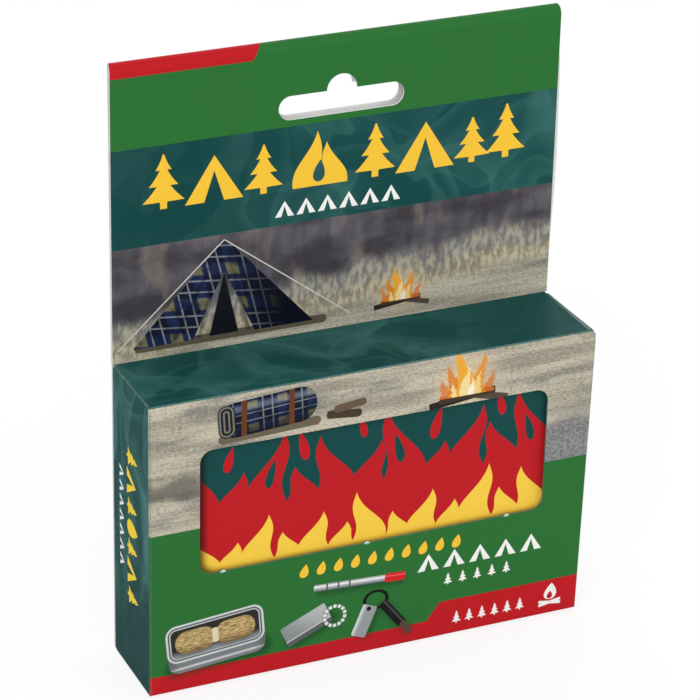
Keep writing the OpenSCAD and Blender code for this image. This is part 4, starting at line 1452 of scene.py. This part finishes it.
def dress_node(node: str, finish: Finish) -> None:
    """Gives a CAD node that stays in view its finish.

    Args:
        node: The node's name.
        finish: The finish.
    """
    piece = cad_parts[node]
    made = finish.material()
    if not piece.material_slots:
        piece.data.materials.append(made)
    for holder in piece.material_slots:
        holder.material = made
    LOG.info("%s is finished as %s", node, finish.name)


def box_reach(angle: np.ndarray, half_x: float, half_z: float, radius: float) -> np.ndarray:
    """Measures rays from the middle of a round-cornered rectangle to its outline.

    A ray ends at the side that it meets first, or on the corner's circle where it would
    meet that side past the circle's centre.

    Args:
        angle: The rays' angles.
        half_x: Half the rectangle's width.
        half_z: Half its height.
        radius: Radius of its corners.

    Returns:
        The rays' lengths.
    """
    c, s = np.abs(np.cos(angle)), np.abs(np.sin(angle))
    with np.errstate(divide="ignore"):
        reach = np.minimum(half_x / c, half_z / s)
    cx, cz = half_x - radius, half_z - radius
    along = c * cx + s * cz
    inside = along ** 2 - (cx ** 2 + cz ** 2 - radius ** 2)
    corner = (reach * c > cx) & (reach * s > cz)
    return np.where(corner, along + np.sqrt(np.maximum(inside, 0)), reach)


def frame_reach(angle: np.ndarray, left: float, right: float, low: float, high: float) -> np.ndarray:
    """Measures rays from a point to the rectangle round it.

    Args:
        angle: The rays' angles.
        left: Distance to the rectangle's left side.
        right: Distance to its right side.
        low: Distance to its lower side.
        high: Distance to its upper side.

    Returns:
        The rays' lengths.
    """
    c, s = np.cos(angle), np.sin(angle)
    with np.errstate(divide="ignore"):
        across = np.where(c >= 0, right, left) / np.abs(c)
        over = np.where(s >= 0, high, low) / np.abs(s)
    return np.minimum(across, over)


def frame_corners(left: float, right: float, low: float, high: float) -> list[tuple[float, float]]:
    """Gives the corners of the rectangle that frame_reach measures to."""
    return [(x, z) for x in (-left, right) for z in (-low, high)]


def corner_points(half_x: float, half_z: float, radius: float, steps: int) -> list[tuple[float, float]]:
    """Gives points along the four corner circles of a rounded rectangle.

    Args:
        half_x: Half the rectangle's width.
        half_z: Half its height.
        radius: Radius of its corners.
        steps: Points on each corner.

    Returns:
        The points, counted from the rectangle's middle.
    """
    turns = np.linspace(0, np.pi / 2, steps)
    arc = [(half_x - radius + radius * math.cos(t), half_z - radius + radius * math.sin(t)) for t in turns]
    return [(across * x, up * z) for across in (-1, 1) for up in (-1, 1) for x, z in arc]


def rays(count: int, points: Sequence[tuple[float, float]]) -> np.ndarray:
    """Gives the angles of evenly spread rays, and of rays through given points.

    Args:
        count: Number of even rays.
        points: Points that a ray must meet, counted from the rays' middle.

    Returns:
        The angles from 0 to a full turn, in order and each once.
    """
    even = np.linspace(0, 2 * np.pi, count, endpoint=False)
    exact = np.mod([math.atan2(z, x) for x, z in points], 2 * np.pi)
    return np.unique(np.round(np.concatenate([even, exact]), 5))


def ray_rows(angle: np.ndarray, middle: tuple[float, float], hole: np.ndarray, border: np.ndarray,
             shares: Sequence[float]) -> tuple[np.ndarray, np.ndarray]:
    """Spreads rows of places along rays, from a hole's outline out to a border.

    Args:
        angle: The rays' angles.
        middle: Where the rays start.
        hole: Their lengths to the hole's outline.
        border: Their lengths to the border.
        shares: Each row's share of the way from the hole to the border.

    Returns:
        The places across and up, rows by rays.
    """
    reach = hole + (border - hole) * np.array(shares)[:, None]
    return middle[0] + reach * np.cos(angle), middle[1] + reach * np.sin(angle)


@dataclass
class Carton:
    """Folded carton with a window and a hang header, all of it board.

    Sizes are in millimetres. The window is given by width, height and corner radius, the
    slot by width and height, the hump by its circle's radius and rise over the slot's
    middle. What ends in _at is the place of a middle across and up, what ends in _from is
    where something starts across, and an outline is pairs of a place and a share.
    The lip's lean is in degrees.
    """

    board: float = 0.5
    crease: float = 0.7
    side_round: float = 0.6
    gap: float = 0.15
    sag: float = 0.12
    window: tuple[float, float, float] = (90.7, 33.2, 3.3)
    window_at: tuple[float, float] = (0.8, 47.4)
    nick_places: tuple[float, ...] = (-38.6, -1.2, 36.3)
    nick_size: float = 0.55
    slot: tuple[float, float] = (32.0, 6.0)
    slot_at: tuple[float, float] = (0.4, 136.2)
    hump: tuple[float, float] = (3.85, 3.0)
    ply_rows: tuple[float, ...] = (0, 0.01, 0.08, 0.25, 0.5, 0.75, 1)
    splayed: float = 1.5
    splay_from: float = 48.0
    splay_run: float = 8.5
    shoulder: float = 2.2
    shoulder_share: float = 0.8
    header_spread: float = 3.0
    flare: float = 2.0
    flare_from: float = 30.0
    flare_outline: tuple[tuple[float, float], ...] = (
        (0, 0), (0.2, 0.4), (0.35, 0.74), (0.5, 0.95), (0.65, 1), (0.8, 1), (0.92, 0.74), (0.97, 0.5), (1, 0))
    tuck: float = 0.9
    tuck_from: float = 25.0
    tuck_run: float = 80.0
    closure_corner: float = 1.8
    closure_slack: float = 0.02
    lip_length: float = 8.5
    lip_corner: float = 5.0
    lip_inset: float = 1.2
    lip_lean: float = 11.9
    lip_bend: float = 0.8

    def __post_init__(self) -> None:
        """Reads the front panel's box and makes the board's finishes."""
        self.front = box_mm("front_panel")
        self.height = self.front[1][2]
        self.raw = RawBoard("raw_board", 0.72)
        self.edge = RawBoard("board_edge", 0.8, shine=0.2, colour="F7F7F6", shade="E9E9E7")
        self.inked_edge = RawBoard("inked_edge", 0.8, shine=0.2, colour="7E9B93", shade="4F756C")
        self.flap = RawBoard("flap_board", 0.72, mapped=False)

    def skins(self, panel: Panel) -> tuple[Finish, Finish, Finish]:
        """Gives a panel's finishes.

        Args:
            panel: The panel.

        Returns:
            The outer face's, the inner face's and the edge's finish.
        """
        edge = self.edge if panel in (Panel.HEADER, Panel.BACK) else self.inked_edge
        shine = 0.22 if panel is Panel.END else 0.5
        printed = PrintedBoard(f"printed_{panel.value}", 0.5, shine=shine, ior=1.14, panel=panel)
        return printed, self.raw, edge

    def slot_reach(self, angle: np.ndarray) -> np.ndarray:
        """Measures rays from the slot's middle to the outline of the slot and its hump.

        A ray ends where it leaves both the slot and the hump's circle.

        Args:
            angle: The rays' angles.

        Returns:
            The rays' lengths.
        """
        width, height = self.slot
        radius, rise = self.hump
        along = np.sin(angle) * rise
        hump = along + np.sqrt(along ** 2 - (rise ** 2 - radius ** 2))
        return np.maximum(box_reach(angle, width / 2, height / 2, height / 2 - 1e-4), hump)

    def slot_points(self) -> list[tuple[float, float]]:
        """Gives points round the slot's ends and over its hump, from the slot's middle.

        Returns:
            The points.
        """
        width, height = self.slot
        radius, rise = self.hump
        meet = math.sqrt(radius ** 2 - (height / 2 - rise) ** 2)
        first = math.atan2(height / 2 - rise, meet)
        turns = np.linspace(first, np.pi - first, 25)
        arc = [(radius * math.cos(t), rise + radius * math.sin(t)) for t in turns]
        return [*corner_points(width / 2, height / 2, height / 2, 9), *arc]

    def front_board(self) -> bpy.types.Object:
        """Makes the front panel.

        Its rows run from the window's outline straight out to the panel's border, and on
        round the folds: a quarter circle whose radius is the crease's above and below and
        the side fold's left and right. Its columns run round the window.

        Returns:
            The board.
        """
        low, high = self.front
        cx, cz = self.window_at
        half_w, half_h, radius = self.window[0] / 2, self.window[1] / 2, self.window[2]
        left, right = cx - low[0] - self.side_round, high[0] - cx - self.side_round
        under, over = cz - self.crease, self.height - cz - self.crease
        corners = frame_corners(left, right, under, over)
        # Rays close beside each corner keep the turn from one fold to the next short
        beside = [(x - dx * np.sign(x), z - dz * np.sign(z)) for x, z in corners
                  for dx, dz in ((0.5, 0), (3, 0), (0, 0.5), (0, 3))]
        nicks = [(place - cx + step, -half_h) for place in self.nick_places
                 for step in np.linspace(-1.5, 1.5, 13)]
        angle = rays(140, [*corners, *beside, *nicks, *corner_points(half_w, half_h, radius, 9)])
        hole = box_reach(angle, half_w, half_h, radius)
        border = frame_reach(angle, left, right, under, over)
        x, z = ray_rows(angle, self.window_at, hole, border, (0, 0.012, 0.06, 0.2, 0.4, 0.6, 0.8, 0.94, 1))
        # Torn nicks stand up into the window as small humps
        size = self.nick_size
        torn = sum(size * np.exp(-((x[0] - place) / size) ** 2) for place in self.nick_places)
        z[0] += torn * (z[0] < cz)
        nx = np.isclose(x[-1], cx + right, atol=1e-3) * 1.0 - np.isclose(x[-1], cx - left, atol=1e-3)
        nz = np.isclose(z[-1], cz + over, atol=1e-3) * 1.0 - np.isclose(z[-1], cz - under, atol=1e-3)
        turn = np.linspace(0, np.pi / 2, 7)[1:, None]
        rx, rz = nx * self.side_round, nz * self.crease
        level = np.zeros_like(x)
        y = low[1] + np.vstack([level, np.maximum(np.abs(rx), np.abs(rz)) * (1 - np.cos(turn))])
        slope = np.vstack([level[:, :1], turn])
        normal = np.stack([nx * np.sin(slope), -np.cos(slope) + 0 * nx, nz * np.sin(slope)], -1)
        normal /= np.linalg.norm(normal, axis=-1, keepdims=True)
        flat = np.stack([np.vstack([x, x[-1] + rx * turn]), np.vstack([z, z[-1] + rz * turn])], -1)
        x = np.vstack([x, x[-1] + rx * np.sin(turn)])
        z = np.vstack([z, z[-1] + rz * np.sin(turn)])
        x = x + self.splay(z) * np.clip((x - self.splay_from) / self.splay_run, 0, 1)
        draft = Draft()
        draft.board(np.stack([x, y, z], -1), normal, flat, self.board, closed=True)
        return draft.piece("front_board", self.skins(Panel.FRONT))

    def splay(self, z: np.ndarray) -> np.ndarray:
        """Works out how far the right end stands out.

        It grows evenly with the height, less a share of a quarter circle at its shoulder.

        Args:
            z: Heights.

        Returns:
            The distances outwards.
        """
        near = np.clip((z - self.height + self.shoulder) / self.shoulder, 0, 1)
        drop = 1 - np.sqrt(np.clip(1 - near ** 2, 0, 1))
        return self.splayed * (np.clip(z / self.height, 0, 1) - self.shoulder_share * drop)

    def level_board(self, node: str, panel: Panel, face: float, up: int, sag: float) -> bpy.types.Object:
        """Makes the top or the base: a grid across and back.

        Its middle sags as the product of two parabolas, one across and one back.

        Args:
            node: The CAD node that it stands for.
            panel: The panel.
            face: Height of its outer face.
            up: 1 where the outer face looks up, -1 where it looks down.
            sag: How far its middle sags.

        Returns:
            The board.
        """
        low, high = box_mm(node)
        x, y = np.meshgrid(np.linspace(low[0], high[0], 41), np.linspace(low[1], high[1], 15))
        centre = 1 - ((y - (low[1] + high[1]) / 2) / (high[1] - low[1]) * 2) ** 2
        z = face - sag * (1 - (x / high[0]) ** 2) * centre
        normal = np.broadcast_to([0.0, 0.0, float(up)], (*x.shape, 3))
        flat = np.stack([x, y if up < 0 else self.height + (y - self.front[0][1])], -1)
        draft = Draft()
        draft.board(np.stack([x, y, z], -1), normal, flat, self.board)
        return draft.piece(f"{panel.value}_board", self.skins(panel))

    def back_board(self) -> bpy.types.Object:
        """Makes the back panel: the lower fold's quarter circle, then straight up.

        Returns:
            The board.
        """
        low, high = box_mm("back_panel")
        turn = np.linspace(0, np.pi / 2, 8)
        rise = np.linspace(self.crease, high[2], 12)[1:]
        straight = np.ones(len(rise))
        y = np.concatenate([high[1] - self.crease + self.crease * np.sin(turn), high[1] * straight])
        z = np.concatenate([self.crease - self.crease * np.cos(turn), rise])
        ny = np.concatenate([np.sin(turn), straight])
        nz = np.concatenate([-np.cos(turn), 0 * straight])
        path = np.concatenate([self.crease * turn, self.crease * np.pi / 2 + rise - self.crease])
        x, _ = np.meshgrid(np.linspace(low[0], high[0], 33), y)
        y, z, ny, nz, path = (np.broadcast_to(row[:, None], x.shape) for row in (y, z, ny, nz, path))
        normal = np.stack([0 * x, ny, nz], -1)
        draft = Draft()
        draft.board(np.stack([x, y, z], -1), normal, np.stack([-x, path], -1), self.board)
        return draft.piece("back_board", self.skins(Panel.BACK))

    def drawn_in(self, x: np.ndarray) -> np.ndarray:
        """Gives how far the header's top is drawn in to the right, growing leftwards."""
        return self.tuck * np.clip((self.tuck_from - x) / self.tuck_run, 0, 1)

    def header_board(self) -> bpy.types.Object:
        """Makes the header's front ply and the fold over its top.

        The flat part runs from the slot's outline out to the ply's border. The fold is a
        half circle carried along X.

        Returns:
            The board.
        """
        low, high = box_mm("header_front_ply")
        radius = (high[1] - low[1]) / 2
        top = high[2] - radius
        cx, cz = self.slot_at
        sides = (cx - low[0], high[0] - cx, cz - low[2], top - cz)
        angle = rays(120, [*frame_corners(*sides), *self.slot_points()])
        hole, border = self.slot_reach(angle), frame_reach(angle, *sides)
        x, z = ray_rows(angle, self.slot_at, hole, border, self.ply_rows)
        points = np.stack([x, np.full_like(x, low[1]), z], -1)
        ahead = np.broadcast_to([0.0, -1.0, 0.0], points.shape)
        draft = Draft()
        draft.board(points, ahead, np.stack([x, z], -1), self.board, closed=True)
        x, turn = np.meshgrid(np.linspace(low[0], high[0], 49), np.linspace(0, np.pi, 19))
        x = x + self.drawn_in(x) * (1 - np.cos(turn)) / 2
        points = np.stack([x, low[1] + radius - radius * np.cos(turn), top + radius * np.sin(turn)], -1)
        draft.board(points, np.stack([0 * x, -np.cos(turn), np.sin(turn)], -1),
                    np.stack([x, top + radius * turn], -1), self.board)
        return draft.piece("header_board", self.skins(Panel.HEADER))

    def header_back(self) -> bpy.types.Object:
        """Makes the leaning back ply, whose right edge swells past the front ply.

        Rows run from the slot out to the border. The swelling is the flare's outline over
        the height, and grows from flare_from to the right edge.

        Returns:
            The board.
        """
        low, high = box_mm("header_front_ply")
        radius = (high[1] - low[1]) / 2
        rise = high[2] - radius - low[2]
        lean = math.atan2(self.header_spread, rise)
        length = rise / math.cos(lean) - self.gap
        cx, cv = self.slot_at[0], (self.slot_at[1] - low[2]) / math.cos(lean)
        sides = (cx - low[0], high[0] - cx, cv, length - cv)
        angle = rays(160, [*frame_corners(*sides), *self.slot_points()])
        hole, border = self.slot_reach(angle), frame_reach(angle, *sides)
        x, v = ray_rows(angle, (cx, cv), hole, border, self.ply_rows)
        swell = np.interp(v / length, *np.transpose(self.flare_outline))
        x = x + self.flare * swell * np.clip((x - self.flare_from) / (high[0] - self.flare_from), 0, 1)
        x = x + self.drawn_in(x) * v / length
        y, z = box_mm("back_panel")[1][1] + v * math.sin(lean), low[2] + v * math.cos(lean)
        points = np.stack([x, y, z], -1)
        behind = np.broadcast_to([0.0, math.cos(lean), -math.sin(lean)], points.shape)
        draft = Draft()
        draft.board(points, behind, np.stack([-x, z], -1), self.board, closed=True)
        return draft.piece("header_back_board", self.skins(Panel.BACK))

    def closure_rows(self, front: float, back: float) -> tuple[np.ndarray, ...]:
        """Works out the closure's rows: along the end, round the fold, and along the lip.

        Half the height falls along a quarter circle at the panel's corner and at the
        lip's, and evenly round the fold between them.

        Args:
            front: Place of the first row, counted back.
            back: Place of the fold's outermost row.

        Returns:
            Each row's place inwards and back, its normal inwards and back, its way along
            the board, and half its height.
        """
        half, bend, lean = self.height / 2 - self.gap, self.lip_bend, math.radians(self.lip_lean)
        corner = back - self.closure_corner
        rounded = (self.closure_corner - bend) * np.sin(np.linspace(0, np.pi / 2, 6))
        straight = np.concatenate([np.linspace(front, corner, 12)[:-1], corner + rounded])
        turn = np.linspace(0, np.pi / 2 + lean, 11)[1:]
        lip = (self.lip_length - bend) * np.sin(np.linspace(0, np.pi / 2, 14))[1:]
        x = np.concatenate([0 * straight, bend - bend * np.cos(turn),
                            bend + bend * math.sin(lean) + lip * math.cos(lean)])
        y = np.concatenate([straight, back - bend + bend * np.sin(turn),
                            back - bend + bend * math.cos(lean) - lip * math.sin(lean)])
        nx = np.concatenate([0 * straight - 1, -np.cos(turn), 0 * lip + math.sin(lean)])
        ny = np.concatenate([0 * straight, np.sin(turn), 0 * lip + math.cos(lean)])
        path = np.concatenate([straight, straight[-1] + bend * turn, straight[-1] + bend * turn[-1] + lip])
        fall = np.clip(straight - corner, 0, None)
        panel_half = half - self.closure_corner + np.sqrt(self.closure_corner ** 2 - fall ** 2)
        fall = np.clip(lip + bend - (self.lip_length - self.lip_corner), 0, self.lip_corner)
        lip_half = half - self.lip_inset - self.lip_corner + np.sqrt(self.lip_corner ** 2 - fall ** 2)
        bend_half = np.linspace(panel_half[-1], half - self.lip_inset, len(turn) + 1)[1:]
        return x, y, nx, ny, path, np.concatenate([panel_half, bend_half, lip_half])

    def closure(self, side: int) -> bpy.types.Object:
        """Makes an end closure with its tuck lip as one folded board.

        Columns run up, from minus to plus the half height at each row. The right end's
        splay fades towards the back as the power 1.5 of the share of the depth left.

        Args:
            side: -1 for the left end, 1 for the right.

        Returns:
            The closure.
        """
        name = "left" if side < 0 else "right"
        front = self.front[0][1] + self.crease + self.gap
        back = -self.front[0][1] - self.board - self.gap
        rows = self.closure_rows(front, back)
        span = np.linspace(-1, 1, 29)
        x, y, nx, ny, path, half = (np.broadcast_to(row[:, None], (len(row), len(span))) for row in rows)
        z = self.height / 2 + half * span
        left_over = 1 - np.clip((y - front) / (back - front), 0, 1)
        out = self.splay(z) * left_over ** 1.5 * (side > 0)
        points = np.stack([side * (self.front[1][0] - x) + out, y, z], -1)
        normal = np.stack([-side * nx, ny, 0 * z], -1)
        draft = Draft()
        draft.board(points, normal, np.stack([path, z], -1), self.board - self.closure_slack)
        return draft.piece(f"{name}_end_board", self.skins(Panel.END))

    def build(self) -> None:
        """Makes every panel, and gives the flaps that stay CAD their bare board."""
        for piece, body, node in (
                (self.front_board(), "pack", "front_panel"),
                (self.level_board("top_panel", Panel.TOP, self.height, 1, self.sag), "pack", "top_panel"),
                (self.level_board("bottom_panel", Panel.BASE, 0.0, -1, 0.0), "pack", "bottom_panel"),
                (self.back_board(), "pack", "back_panel"),
                (self.header_board(), "pack", "header_front_ply"),
                (self.header_back(), "pack", "header_back_ply"),
                (self.closure(-1), "left_end", "left_closure"),
                (self.closure(1), "right_end", "right_closure")):
            place_piece(piece, body, "printed_board", node)
        for node in ("seam_flap", "left_upper_dust_flap", "left_lower_dust_flap", "right_upper_dust_flap",
                     "right_lower_dust_flap"):
            dress_node(node, self.flap)


@dataclass
class Tin:
    """Hinged tin behind the window. The lid's edge turns back over a bend."""

    face: float = -11.4
    bend: float = 2.2

    def build(self) -> None:
        """Prints the lid, and finishes the base and the hinge pins."""
        dress_node("tin_lid", FlameLid("flame_lid", 0.36, ior=1.16, print_end=self.face + self.bend))
        dress_node("tin_base", Metal("tinplate", 0.32, 1.0, bright="BDC0C3", dull="9A9EA1", relief=0.006))
        dress_node("hinge_pins", Metal("hinge_wire", 0.36, 1.0, bright="A5A8AB", dull="7C7F83"))


@dataclass
class Kit:
    """Fire lighting kit inside the tin.

    The lanyard's route repeats the part's: from the cord end through the eye of the rod's
    handle, under the striker, up through its hole and back. The hank's outline gives its
    size from its end to its middle, as a share of the whole, and is mirrored past it.
    """

    cord_diameter: float = 2.0
    easing: int = 24
    route: tuple[tuple[float, float, float], ...] = (
        (26.0, -2.4, 53.1), (24.0, -2.4, 53.1), (22.0, -2.0, 53.5), (20.2, -0.8, 54.1), (18.9, 1.0, 54.7),
        (18.4, 3.2, 54.9), (18.8, 5.1, 54.9), (20.2, 6.4, 54.5), (22.5, 7.0, 53.9), (26.0, 7.1, 53.1),
        (31.0, 7.1, 52.1), (36.0, 7.1, 51.1), (39.5, 7.1, 50.3), (41.6, 6.4, 49.9), (42.6, 4.8, 49.8),
        (42.3, 2.6, 50.0), (41.0, 0.2, 50.7), (39.0, -1.6, 51.9), (36.5, -2.4, 53.1), (34.0, -2.4, 53.1))
    strands: int = 150
    strand_radius: float = 0.22
    seed: int = 7
    hank_turns: float = 1.6
    hank_outline: tuple[tuple[float, float], ...] = (
        (0, 0.3), (0.03, 0.62), (0.08, 0.84), (0.15, 0.97), (0.22, 1), (0.3, 0.93), (0.38, 0.74), (0.44, 0.6),
        (0.5, 0.54))

    def finishes(self) -> dict[str, Finish]:
        """Gives the finish of each piece that stays CAD.

        Returns:
            The finishes by node.
        """
        tube = Metal("tube_steel", 0.2, 1.0, bright="DADCDE", dull="B4B7BA", relief=0.004)
        black = Moulded("black_plastic", 0.5)
        chain = Metal("nickel_chain", 0.16, 1.0, bright="DCDDDD", dull="A9ABAD", relief=0.003)
        return {
            "magnesium_bar": Metal("magnesium", 0.52, 1.0, bright="A2A4A6", dull="6F7275", relief=0.03),
            "ball_chain": chain, "chain_clasp": chain,
            "ferro_rod": Metal("ferro_rod", 0.46, 0.7, bright="5C4E48", dull="2E2826", relief=0.02),
            "rod_handle": black, "cord_end": black,
            "striker": Metal("striker_steel", 0.38, 1.0, bright="85888B", dull="595C5F", relief=0.012),
            "tube_section_1": tube, "tube_section_2": tube, "tube_section_3": tube, "tube_section_4": tube,
            "tube_tip": tube, "mouthpiece": Moulded("red_rubber", 0.55, colour="B3161B", pale="CF3A38"),
            "tinder_band": Fibre("jute_twine", 0.85)}

    def hank(self) -> bpy.types.Object:
        """Makes the tied hank: a lumpy body under loose strands.

        The body is a function of the place along the hank and of the angle round it: an
        oval whose size follows the hank's outline, with sums of sines as lumps. A strand
        keeps its own drifting angle along that body and lies on it.

        Returns:
            The hank.
        """
        low, high = box_mm("tinder_hank")
        middle, half = (low + high) / 2, (high - low) / 2
        steps = np.linspace(0, 1, 61)
        swell = np.interp(0.5 - np.abs(steps - 0.5), *np.transpose(self.hank_outline))

        def on_body(t: np.ndarray, angle: np.ndarray, lift: np.ndarray | float) -> np.ndarray:
            """Gives points on the oval body, lifted by a share of its size.

            Args:
                t: Place along the hank, from 0 to 1.
                angle: Angle round it.
                lift: Share of the body's size.

            Returns:
                The points.
            """
            full = np.interp(t, steps, swell) * lift
            return np.stack([middle[0] + (2 * t - 1) * half[0],
                             middle[1] + half[1] * np.minimum(full * 1.12, 1) * np.sin(angle),
                             middle[2] + half[2] * full * np.cos(angle)], -1)

        around = np.linspace(0, 2 * np.pi, 40, endpoint=False)
        t, angle = np.meshgrid(np.linspace(0.005, 0.995, 60), around, indexing="ij")
        lumps = 0.9 + 0.02 * np.sin(9 * angle + 22 * t) + 0.02 * np.sin(17 * angle - 9 * t)
        draft = Draft()
        draft.skin(on_body(t, angle, lumps))
        rng = np.random.default_rng(self.seed)
        start = rng.uniform(0, 2 * np.pi, (self.strands, 1))
        drift = rng.uniform(-self.hank_turns, self.hank_turns, (self.strands, 1))
        wave = rng.uniform(0, 2 * np.pi, (self.strands, 1))
        lift = rng.uniform(0.9, 0.975, (self.strands, 1))
        run = np.linspace(0.02, 0.98, 30)[None, :]
        angle = start + drift * run + 0.25 * np.sin(6 * run + wave)
        lift = lift + 0.012 * np.sin(15 * run + wave)
        draft.tubes(on_body(np.broadcast_to(run, angle.shape), angle, lift), self.strand_radius, 4)
        return draft.piece("jute_hank", (Fibre("jute_fibre", 0.9),), 60)

    def lanyard(self) -> bpy.types.Object:
        """Makes the cord: a round tube on a smooth curve through the route's points.

        Between two points the curve is the cubic that at each of them runs as the line
        between the points on its two sides. It is then eased, many times, by moving each
        of its points halfway to the middle of the two beside it.

        Returns:
            The cord.
        """
        route = np.array(self.route)
        ends = np.vstack([2 * route[0] - route[1], route, 2 * route[-1] - route[-2]])
        a, b, c, d = (ends[first:len(ends) - 3 + first, None] for first in range(4))
        t = np.linspace(0, 1, 9)[:-1, None]
        spans = (2 * b + (c - a) * t + (2 * a - 5 * b + 4 * c - d) * t ** 2
                 + (3 * b - a - 3 * c + d) * t ** 3) / 2
        path = np.vstack([spans.reshape(-1, 3), route[-1:]])
        for _ in range(self.easing):
            path[1:-1] = path[1:-1] / 2 + (path[:-2] + path[2:]) / 4
        braid = Fibre("black_braid", 0.75, pale="2E2E30", dark="0C0C0D", braid=True)
        draft = Draft()
        draft.tubes(path[None], self.cord_diameter / 2, 14)
        piece = place_piece(draft.piece("lanyard", (braid,), 60), "pack", "cord", "lanyard_cord")
        return piece

    def build(self) -> None:
        """Makes the soft pieces and finishes the rest."""
        self.lanyard()
        place_piece(self.hank(), "pack", "jute", "tinder_hank")
        for node, finish in self.finishes().items():
            dress_node(node, finish)


@dataclass
class Studio:
    """Camera, white floor, three soft lamps and a pale surrounding.

    The camera's place, lens and sensor are in millimetres. All other sizes are in metres.
    """

    eye: tuple[float, float, float] = (-292.38, -642.34, 421.86)
    forward: tuple[float, float, float] = (0.37088, 0.81817, -0.43937)
    right: tuple[float, float, float] = (0.91497, -0.40291, 0.02207)
    lens: float = 169.235
    sensor: float = 36.0
    floor_size: float = 6.0
    floor_drop: float = 0.0005
    aim: tuple[float, float, float] = (0.0, 0.0, 0.075)
    surround: float = 0.62

    def camera(self) -> None:
        """Places the camera by its two directions, which the photograph gave."""
        data = bpy.data.cameras.new("camera")
        data.lens = self.lens
        data.sensor_width = self.sensor
        data.clip_start = 0.02
        camera = bpy.data.objects.new("camera", data)
        ahead = Vector(self.forward).normalized()
        right = Vector(self.right)
        right = (right - ahead * right.dot(ahead)).normalized()
        up = right.cross(ahead)
        turn = Matrix((right, up, -ahead)).transposed().to_4x4()
        camera.matrix_world = Matrix.Translation(Vector(self.eye) * MM) @ turn
        bpy.context.scene.collection.objects.link(camera)
        bpy.context.scene.camera = camera

    def seen(self, g: Graph) -> Wire:
        """Masks the rays that show the surroundings: seen, mirrored or looked through.

        Args:
            g: The graph.

        Returns:
            The mask.
        """
        ray = g.add("ShaderNodeLightPath").outputs
        return g.clamp(Wire(g, ray["Is Camera Ray"]) + Wire(g, ray["Is Glossy Ray"])
                       + Wire(g, ray["Is Transmission Ray"]))

    def floor(self) -> None:
        """Lays a wide floor that is nearly white in view and keeps a soft shadow."""
        half = self.floor_size / 2
        mesh = bpy.data.meshes.new("floor")
        corners = [(-half, -half, 0), (half, -half, 0), (half, half, 0), (-half, half, 0)]
        mesh.from_pydata(corners, [], [(0, 1, 2, 3)])
        made = bpy.data.materials.new("floor")
        g = fresh_graph(made)
        matt = g.add("ShaderNodeBsdfDiffuse", {"Color": (0.82, 0.82, 0.82)})
        glow = g.add("ShaderNodeEmission", {"Color": (1.0, 1.0, 1.0), "Strength": 1.1})
        both = g.add("ShaderNodeMixShader", {0: self.seen(g) * 0.74, 1: Wire(g, matt.outputs[0]),
                                             2: Wire(g, glow.outputs[0])})
        g.add("ShaderNodeOutputMaterial", {"Surface": Wire(g, both.outputs[0])})
        mesh.materials.append(made)
        floor = bpy.data.objects.new("floor", mesh)
        floor.location.z = -self.floor_drop
        bpy.context.scene.collection.objects.link(floor)

    def lamp(self, name: str, at: tuple[float, float, float], size: float, power: float) -> None:
        """Hangs a soft square lamp that looks at the carton's middle.

        Args:
            name: The lamp's name.
            at: Its place.
            size: Its width.
            power: Its power in watts.
        """
        data = bpy.data.lights.new(name, "AREA")
        data.shape = "SQUARE"
        data.size = size
        data.energy = power
        lamp = bpy.data.objects.new(name, data)
        lamp.location = at
        lamp.rotation_euler = (Vector(self.aim) - Vector(at)).to_track_quat("-Z", "Y").to_euler()
        bpy.context.scene.collection.objects.link(lamp)

    def surroundings(self) -> None:
        """Lights everything evenly, and is white where it is seen or mirrored."""
        world = bpy.data.worlds.new("studio")
        bpy.context.scene.world = world
        g = fresh_graph(world)
        seen = self.seen(g)
        glow = g.add("ShaderNodeBackground", {"Color": (1.0, 1.0, 1.0),
                                              "Strength": seen * (1.0 - self.surround) + self.surround})
        g.add("ShaderNodeOutputWorld", {"Surface": Wire(g, glow.outputs[0])})

    def build(self) -> None:
        """Sets up the view, the floor and the light."""
        self.camera()
        self.floor()
        self.lamp("key", (-0.75, -1.15, 1.15), 1.1, 9.5)
        self.lamp("fill", (1.2, -0.9, 0.7), 1.2, 4.5)
        self.lamp("back", (0.2, 1.4, 1.0), 1.2, 5.0)
        self.surroundings()
        bpy.context.scene.view_settings.view_transform = "Standard"


def main() -> None:
    Studio().build()
    Kit().build()
    Carton().build()
    Tin().build()


if __name__ == "__main__":
    logging.basicConfig(level=logging.INFO)
    main()
